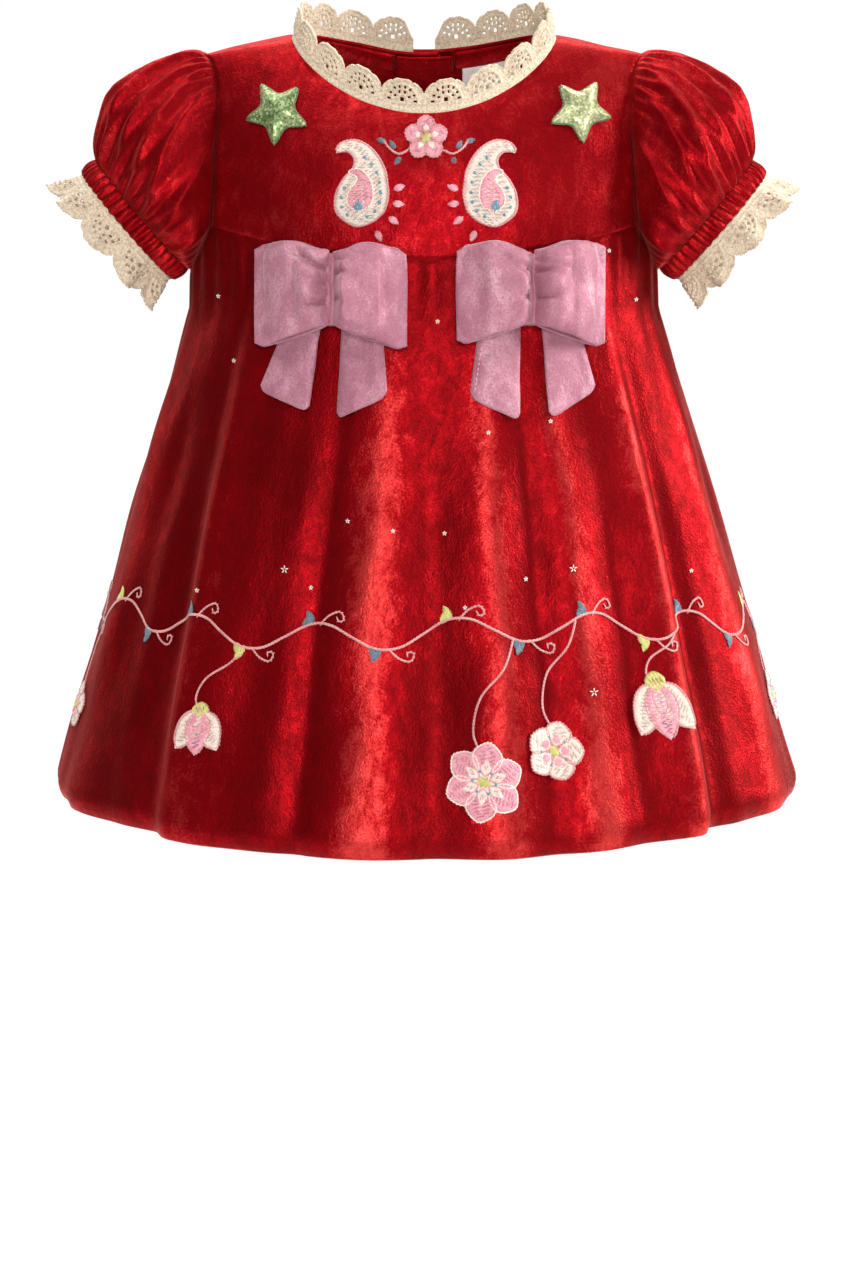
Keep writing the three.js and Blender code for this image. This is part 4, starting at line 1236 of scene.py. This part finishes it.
def threadMaterial(word):
    material, tree, shader, place = newMaterial(f"thread_{word}")
    twist = addNoise(tree, place, 1500, 2, 0.5, 0.8)
    spread = addNoise(tree, place, 160, 2)
    both = addSum(tree, twist, spread, 0.4)
    colour = addRamp(tree, both, [(0.3, threads[word][0]), (0.62, threads[word][1])])
    tree.links.new(colour, shader.inputs["Base Color"])
    shader.inputs["Roughness"].default_value = 0.42
    shader.inputs["Sheen Weight"].default_value = 0.3
    addBump(tree, shader, twist, 0.6, 0.0003)
    return material


def smoothLine(points, step, closed=False):
    # Even points, about step apart, on a smooth curve through the given ones
    points = np.array(points, float)
    count = len(points)
    fine = []
    for k in range(count if closed else count - 1):
        places = [(k + s) % count if closed else min(max(k + s, 0), count - 1) for s in (-1, 0, 1, 2)]
        a, b, c, d = points[places]
        t = np.linspace(0, 1, 24, endpoint=False)[:, None]
        curve = 2 * b + (c - a) * t + (2 * a - 5 * b + 4 * c - d) * t**2
        fine.append(0.5 * (curve + (3 * b - a - 3 * c + d) * t**3))
    fine = np.concatenate(fine + [points[:1] if closed else points[-1:]])
    run = np.concatenate([[0], np.cumsum(np.linalg.norm(np.diff(fine, axis=0), axis=1))])
    at = np.linspace(0, run[-1], max(2, int(round(run[-1] / step))) + 1)
    return np.stack([np.interp(at, run, fine[:, 0]), np.interp(at, run, fine[:, 1])], axis=-1)


def cordStitches(points, closed=False, slant=0.22):
    # Slanting stitches that overlap along a line, as a cord's twist does
    line = smoothLine(points, stitching["cord"], closed)
    way = line[1:] - line[:-1]
    side = np.stack([-way[:, 1], way[:, 0]], axis=-1) * slant
    return np.stack([line[:-1] - 0.22 * way - side, line[1:] + 0.22 * way + side], axis=1)


def satinStitches(outline, turned):
    # Rows of flat stitches that fill a closed outline
    turn = math.radians(turned)
    along, across = np.array([math.cos(turn), math.sin(turn)]), np.array([-math.sin(turn), math.cos(turn)])
    x, y = outline @ along, outline @ across
    nextX, nextY = np.roll(x, -1), np.roll(y, -1)
    found = []
    for number, row in enumerate(np.arange(y.min() + stitching["satin"] / 2, y.max(), stitching["satin"])):
        crossing = (y > row) != (nextY > row)
        cuts = x[crossing] + (row - y[crossing]) / (nextY - y)[crossing] * (nextX - x)[crossing]
        cuts = np.sort(cuts)
        for start, end in zip(cuts[::2], cuts[1::2]):
            parts = max(1, math.ceil((end - start) / stitching["longest"]))
            edges = np.linspace(start, end, parts + 1)
            edges[1:-1] += (number % 3 - 1) * 0.25 * (end - start) / parts
            for a, b in zip(edges[:-1], edges[1:]):
                found.append([along * a + across * row, along * b + across * row])
    return np.array(found)


def yokePlane(x, z):
    def place(flat, lift):
        at, normal = frontAt(x + flat[..., 0], z + flat[..., 1])
        return at + normal * lift[..., None], normal

    return place


def skirtPlane(angle, z):
    ends = skirtPoint(np.array([angle - 1.0, angle + 1.0]), np.array([float(z)] * 2), True)
    perDegree = float(np.linalg.norm(ends[1] - ends[0])) / 2

    def place(flat, lift):
        turn, level = angle + flat[..., 0] / perDegree, z + flat[..., 1]
        normal = skirtNormal(turn, level)
        return skirtPoint(turn, level) + normal * lift[..., None], normal

    return place


def strandPoints(stitches, place, width, rise, dome):
    share = np.linspace(0, 1, stitching["steps"])
    flat = mix(stitches[:, :1], stitches[:, 1:], share[None, :, None])
    padding = dome[0] * np.exp(-((np.linalg.norm(flat - np.array(dome[2:]), axis=-1) / dome[1]) ** 4))
    at, normal = place(flat, stitching["lift"] + padding + rise * np.sin(math.pi * share))
    along = unit(np.gradient(at, axis=1))
    across = unit(np.cross(along, normal))
    up = np.cross(across, along)
    radius = width / 2 * np.sin(math.pi * (0.8 * share + 0.1)) ** 0.5
    turn = 2 * math.pi * np.arange(stitching["sides"]) / stitching["sides"]
    ring = across[:, :, None] * np.cos(turn)[:, None] + up[:, :, None] * 0.8 * np.sin(turn)[:, None]
    tube = at[:, :, None] + ring * radius[None, :, None, None]
    ends = at[:, [0, -1]] + along[:, [0, -1]] * np.array([-0.3, 0.3])[None, :, None] * width
    return np.concatenate([tube.reshape(len(stitches), -1, 3), ends], axis=1)


def makeThreads(name, runs, colour):
    # One mesh from many runs of stitches: the stitches, their plane, width and rise, and the padding below
    points = np.concatenate([strandPoints(*run) for run in runs])
    steps, sides = stitching["steps"], stitching["sides"]
    quads = np.array(gridFaces(steps, sides, False, True))
    ring = np.arange(sides)
    first = np.stack([np.full(sides, steps * sides), (ring + 1) % sides, ring], axis=-1)
    end = (steps - 1) * sides
    last = np.stack([np.full(sides, steps * sides + 1), end + ring, end + (ring + 1) % sides], axis=-1)
    offsets = np.arange(len(points))[:, None, None] * (steps * sides + 2)
    faces = (quads[None] + offsets).reshape(-1, 4).tolist()
    for cap in (first, last):
        faces += (cap[None] + offsets).reshape(-1, 3).tolist()
    piece = addMesh(name, points.reshape(-1, 3), faces, threadMaterials[colour])
    return piece


threadMaterials = {word: threadMaterial(word) for word in threads}
flatPadding = (0, 1, 0, 0)


def turnedFlat(points, turned, centre=(0, 0), scale=1.0):
    turn = math.radians(turned)
    points = np.array(points, float) * scale
    x = points[:, 0] * math.cos(turn) - points[:, 1] * math.sin(turn)
    y = points[:, 0] * math.sin(turn) + points[:, 1] * math.cos(turn)
    return np.stack([x + centre[0], y + centre[1]], axis=-1)


def petal(length, half, start=0.0, tip=0.8):
    # A petal or leaf along +x, widest past its middle
    share = np.linspace(0, 1, 22)
    width = half * np.sin(math.pi * share**tip) ** 0.75
    upper = np.stack([start + length * share, width], axis=-1)
    lower = np.stack([start + length * share, -width], axis=-1)[1:-1][::-1]
    return np.concatenate([upper, lower])


class Design:
    # Collects runs of stitches by colour on one plane, and keeps the padding under them.
    def __init__(self, place, runs, dome=flatPadding):
        self.place, self.runs, self.dome = place, runs, dome

    def fill(self, colour, outline, turned, rise=0.25):
        stitches = satinStitches(outline, turned)
        self.runs.setdefault(colour, []).append((stitches, self.place, 0.8, rise, self.dome))

    def line(self, colour, points, closed=False, width=1.1, rise=0.15):
        stitches = cordStitches(points, closed)
        self.runs.setdefault(colour, []).append((stitches, self.place, width, rise, self.dome))

    def dot(self, colour, centre, radius):
        turn = np.radians(np.arange(0, 180, 30))
        way = np.stack([np.cos(turn), np.sin(turn)], axis=-1) * radius
        centre = np.array(centre, float)
        stitches = np.stack([centre - way, centre + way], axis=1)
        self.runs.setdefault(colour, []).append((stitches, self.place, 0.7, 0.7, self.dome))

    def flower(self, centre, petals, reach, half, colours, turned=0.0, heart=2.4):
        for k in range(petals):
            turn = turned + 360 * k / petals
            shape = turnedFlat(petal(reach, half, heart * 0.7, 1.25), turn, centre)
            self.fill(colours[0], shape, turn + 90)
            self.line(colours[1], shape[::3], True, 0.8, 0.35)
            inner = turnedFlat(petal(reach * 0.5, half * 0.3, heart), turn, centre)
            self.fill(colours[2], inner, turn, 0.75)
        turns = np.linspace(0, 2 * math.pi, 20)[:-1]
        ring = turnedFlat([(math.cos(t), math.sin(t)) for t in turns], 0, centre, heart)
        self.fill(colours[3], ring, turned + 45, 0.9)


paisley = {
    "spine": [(-1, -21), (0, -12), (3, -3), (4.5, 6), (1.5, 14), (-5.5, 17.5), (-11, 14.5)],
    "share": [0, 0.03, 0.08, 0.15, 0.25, 0.38, 0.52, 0.66, 0.8, 0.92, 1],
    "half": [0.3, 5.5, 9, 11.5, 12.6, 11.6, 8.6, 5.6, 3.6, 2.2, 0.5],
}


def paisleyOutline(mirror, scale, centre=(0, 0)):
    spine = smoothLine(paisley["spine"], 1)
    half = np.interp(np.linspace(0, 1, len(spine)), paisley["share"], paisley["half"])
    way = unit(np.gradient(spine, axis=0))
    side = np.stack([-way[:, 1], way[:, 0]], axis=-1) * half[:, None]
    outline = np.concatenate([spine + side, (spine - side)[::-1]])
    middle = np.array([0.0, -7.0])
    outline = middle + (outline - middle) * scale
    return outline * np.array([mirror, 1]) + np.array(centre)


def makeYokeEmbroidery():
    runs = {}
    for mirror, centre in ((1, (-33.5, -73.5)), (-1, (35.5, -73.5))):
        work = Design(yokePlane(*centre), runs, (0.9, 18, 0, -5))
        shape = paisleyOutline(mirror, 1.06)
        work.fill("cream", shape, 20 * mirror)
        work.line("blush", shape[::4], True, 1.0, 0.3)
        core = paisleyOutline(mirror, 0.52)
        work.fill("pink", core, 20 * mirror, 0.8)
        work.line("cream", core[::5], True, 0.8, 0.9)
        work.fill("teal", turnedFlat(petal(7, 2.2), 80, (-0.6 * mirror, -15)), 80, 1.3)
        for place in smoothLine(paisleyOutline(mirror, 0.8), 5.2)[1:-1]:
            if mirror * place[0] > -0.5 or place[1] < 1:
                work.dot("teal", place, 1.15)
        tips = [(15.5, -17, -35), (17.5, -10, -5), (18, -3, 20), (9, -24, -65)]
        for x, z, turned in tips:
            leaf = turnedFlat(petal(6, 1.7), turned if mirror > 0 else 180 - turned, (x * mirror, z))
            work.fill("pink", leaf, turned)
    middle = Design(yokePlane(1, -50.5), runs, (0.6, 11, 0, 0))
    middle.flower((0, 0), 5, 9.4, 4.4, ("pink", "blush", "cream", "lime"), 90, 2.6)
    for side in (1, -1):
        middle.line("blush", [(9 * side, -6), (14 * side, -8), (19 * side, -5), (22 * side, -1)])
        for x, z, way in ((13, -9.5, -50), (16, -5.5, 60), (20.5, -2, 15)):
            leaf = turnedFlat(petal(5, 1.4), way if side > 0 else 180 - way, (x * side, z))
            middle.fill("leaf", leaf, way)
    return [makeThreads(f"yoke_embroidery_{colour}", parts, colour) for colour, parts in runs.items()]


vine = {"level": -300, "wave": 7, "waves": 15, "reach": 3.0}
hemFlowers = [  # angle, height, kind, size, turn
    (-37.3, -353, "bud", 1.25, -90),
    (9.0, -374, "open", 1.45, 20),
    (20.5, -360, "round", 1.3, 0),
    (40.5, -343, "bud", 1.6, -85),
    (-80, -350, "round", 1.0, 10),
    (86, -347, "round", 1.1, 30),
    (118, -356, "open", 0.95, 0),
    (146, -346, "bud", 1.1, -95),
    (174, -366, "open", 1.1, 50),
    (-158, -350, "round", 0.9, 15),
    (-126, -358, "bud", 1.1, -88),
]


def makeFlower(runs, angle, z, kind, size, turned):
    work = Design(skirtPlane(angle, z), runs, (1.0, 13 * size, 0, 0))
    if kind == "open":
        work.flower((0, 0), 6, 12.5 * size, 5.2 * size, ("pink", "cream", "cream", "lime"), turned, 3.2)
        for k in range(6):
            turn = math.radians(turned + 60 * k + 30)
            work.dot("teal", (6 * math.cos(turn), 6 * math.sin(turn)), 1.0)
    elif kind == "round":
        work.flower((0, 0), 5, 10 * size, 5.4 * size, ("cream", "blush", "pink", "lime"), turned, 3.0)
        for k in range(5):
            turn = math.radians(turned + 72 * k + 36)
            work.dot("teal", (7.5 * math.cos(turn), 7.5 * math.sin(turn)), 0.9)
    else:
        for spread, colour in ((-30, "cream"), (30, "cream"), (0, "pink")):
            leaf = turnedFlat(petal(18 * size, 5.4 * size, 0, 0.75), turned + spread, (0, 9 * size))
            work.fill(colour, leaf, turned + spread + 90, 0.3 if spread else 0.7)
            work.line("blush", leaf[::4], True, 0.8, 0.5)
        cap = turnedFlat(petal(7 * size, 3.6 * size, -4 * size, 0.9), turned, (0, 9 * size))
        work.fill("lime", cap, turned, 0.8)
        for k in range(3):
            work.dot("teal", turnedFlat([((6 + 3.4 * k) * size, 0)], turned, (0, 9 * size))[0], 0.9)


def makeHemEmbroidery():
    runs = {}
    turns = np.arange(-180, 180, 4.0)
    heights = vine["wave"] * np.sin(np.radians(turns * vine["waves"])) + 2.5 * np.sin(np.radians(turns * 4))
    path = np.stack([turns * vine["reach"], heights], axis=-1)

    def place(flat, lift):
        turn, level = flat[..., 0] / vine["reach"], vine["level"] + flat[..., 1]
        normal = skirtNormal(turn, level)
        return skirtPoint(turn, level) + normal * lift[..., None], normal

    work = Design(place, runs)
    work.line("blush", np.concatenate([path, path[:1] + [360 * vine["reach"], 0]]), False, 1.3, 0.2)
    for k in range(2 * vine["waves"]):
        turn = -180 + 180 * (k + 0.5) / vine["waves"]
        high = np.interp(turn, turns, heights)
        side = 1 if k % 2 else -1
        x = turn * vine["reach"]
        curl = [
            (x, high),
            (x + 5, high + 5 * side),
            (x + 11, high + 7 * side),
            (x + 13, high + 3 * side),
            (x + 10, high + 2.2 * side),
            (x + 9.4, high + 4.2 * side),
        ]
        work.line("blush", curl, False, 0.9)
        for away, way in ((-4, 120), (-9, 60)):
            foot = np.interp(turn + away / vine["reach"], turns, heights)
            leaf = turnedFlat(petal(8, 2), side * way, (x + away, foot))
            work.fill("leaf" if k % 3 else "lime", leaf, side * way + 35)
    for angle, z, kind, size, turned in hemFlowers:
        makeFlower(runs, angle, z, kind, size, turned)
        x, low = angle * vine["reach"], z - vine["level"] + 9 * size
        start = np.interp(angle + 6, turns, heights)
        hang = [mix(start, low, share) for share in (0.25, 0.5, 0.8)]
        bend = [(x + 18, start), (x + 12, hang[0]), (x, hang[1]), (x - 4, hang[2]), (x, low)]
        work.line("blush", bend, False, 1.0)
    return [makeThreads(f"hem_embroidery_{colour}", parts, colour) for colour, parts in runs.items()]


tinyStars = [(-71.5, -269, 1.9), (76.5, -268.5, 1.9), (87, -331, 2.1)]
tinyDots = [
    (-107, -133), (-98.5, -165.5), (7, -143.5), (-39, -244), (-16, -248.5),
    (10.5, -250), (-58, -278), (-117, -281.5), (21, -287), (52, -273.5),
    (139, -274.5), (96, -109), (110.5, -135), (65, -194.5), (33, -199.5),
]


def makeTinyStars():
    runs = {}
    for x, z, radius in tinyStars + [(x, z, 1.1) for x, z in tinyDots]:
        work = Design(yokePlane(x, z), runs)
        turn = np.radians(90 + 72 * np.arange(5))
        way = np.stack([np.cos(turn), np.sin(turn)], axis=-1)
        stitches = np.stack([way * 0.25 * radius, way * radius], axis=1)
        runs.setdefault("cream", []).append((stitches, work.place, 0.75, 0.2, flatPadding))
    for (x, z, _), (_, outline) in zip(starPlaces.values(), starWays):
        work = Design(yokePlane(x, z), runs, (0.6, 40, 0, 0))
        work.line("olive", outline[::4], True, 1.2, 0.3)
    tail = bows["right"]["tails"][0]
    x, z = bows["right"]["centre"]
    top, corner = tail[2], tail[4]
    edge = [(x - mix(top[0], corner[0], t) + 2.2, z + mix(top[1], corner[1], t)) for t in (0.35, 0.94)]
    line = smoothLine(edge, 2.6)
    dashes = np.stack([mix(line[:-1], line[1:], 0.1), mix(line[:-1], line[1:], 0.72)], axis=1)
    runs["pink"] = [(dashes, yokePlane(0, 0), 0.6, 0.1, (3.4, 500, 50, -150))]
    return [makeThreads(f"small_stitches_{colour}", parts, colour) for colour, parts in runs.items()]


yokeWork, hemWork, starWork = makeYokeEmbroidery(), makeHemEmbroidery(), makeTinyStars()
print("embroidery made")


def makeFloor():
    mesh = bpy.data.meshes.new("floor")
    turn = np.linspace(0, 2 * math.pi, floor["sides"], endpoint=False)
    corners = [(floor["radius"] * math.cos(t), floor["radius"] * math.sin(t), floor["level"]) for t in turn]
    mesh.from_pydata(corners, [], [list(range(floor["sides"]))])
    material, tree, shader, place = newMaterial("floor")
    colour = addRamp(tree, addNoise(tree, place, 3), [(0.3, (0.86, 0.86, 0.86)), (0.7, (0.88, 0.88, 0.88))])
    tree.links.new(colour, shader.inputs["Base Color"])
    shader.inputs["Roughness"].default_value = 0.9
    mesh.materials.append(material)
    ground = bpy.data.objects.new("floor", mesh)
    scene.collection.objects.link(ground)


makeFloor()
print("floor made")
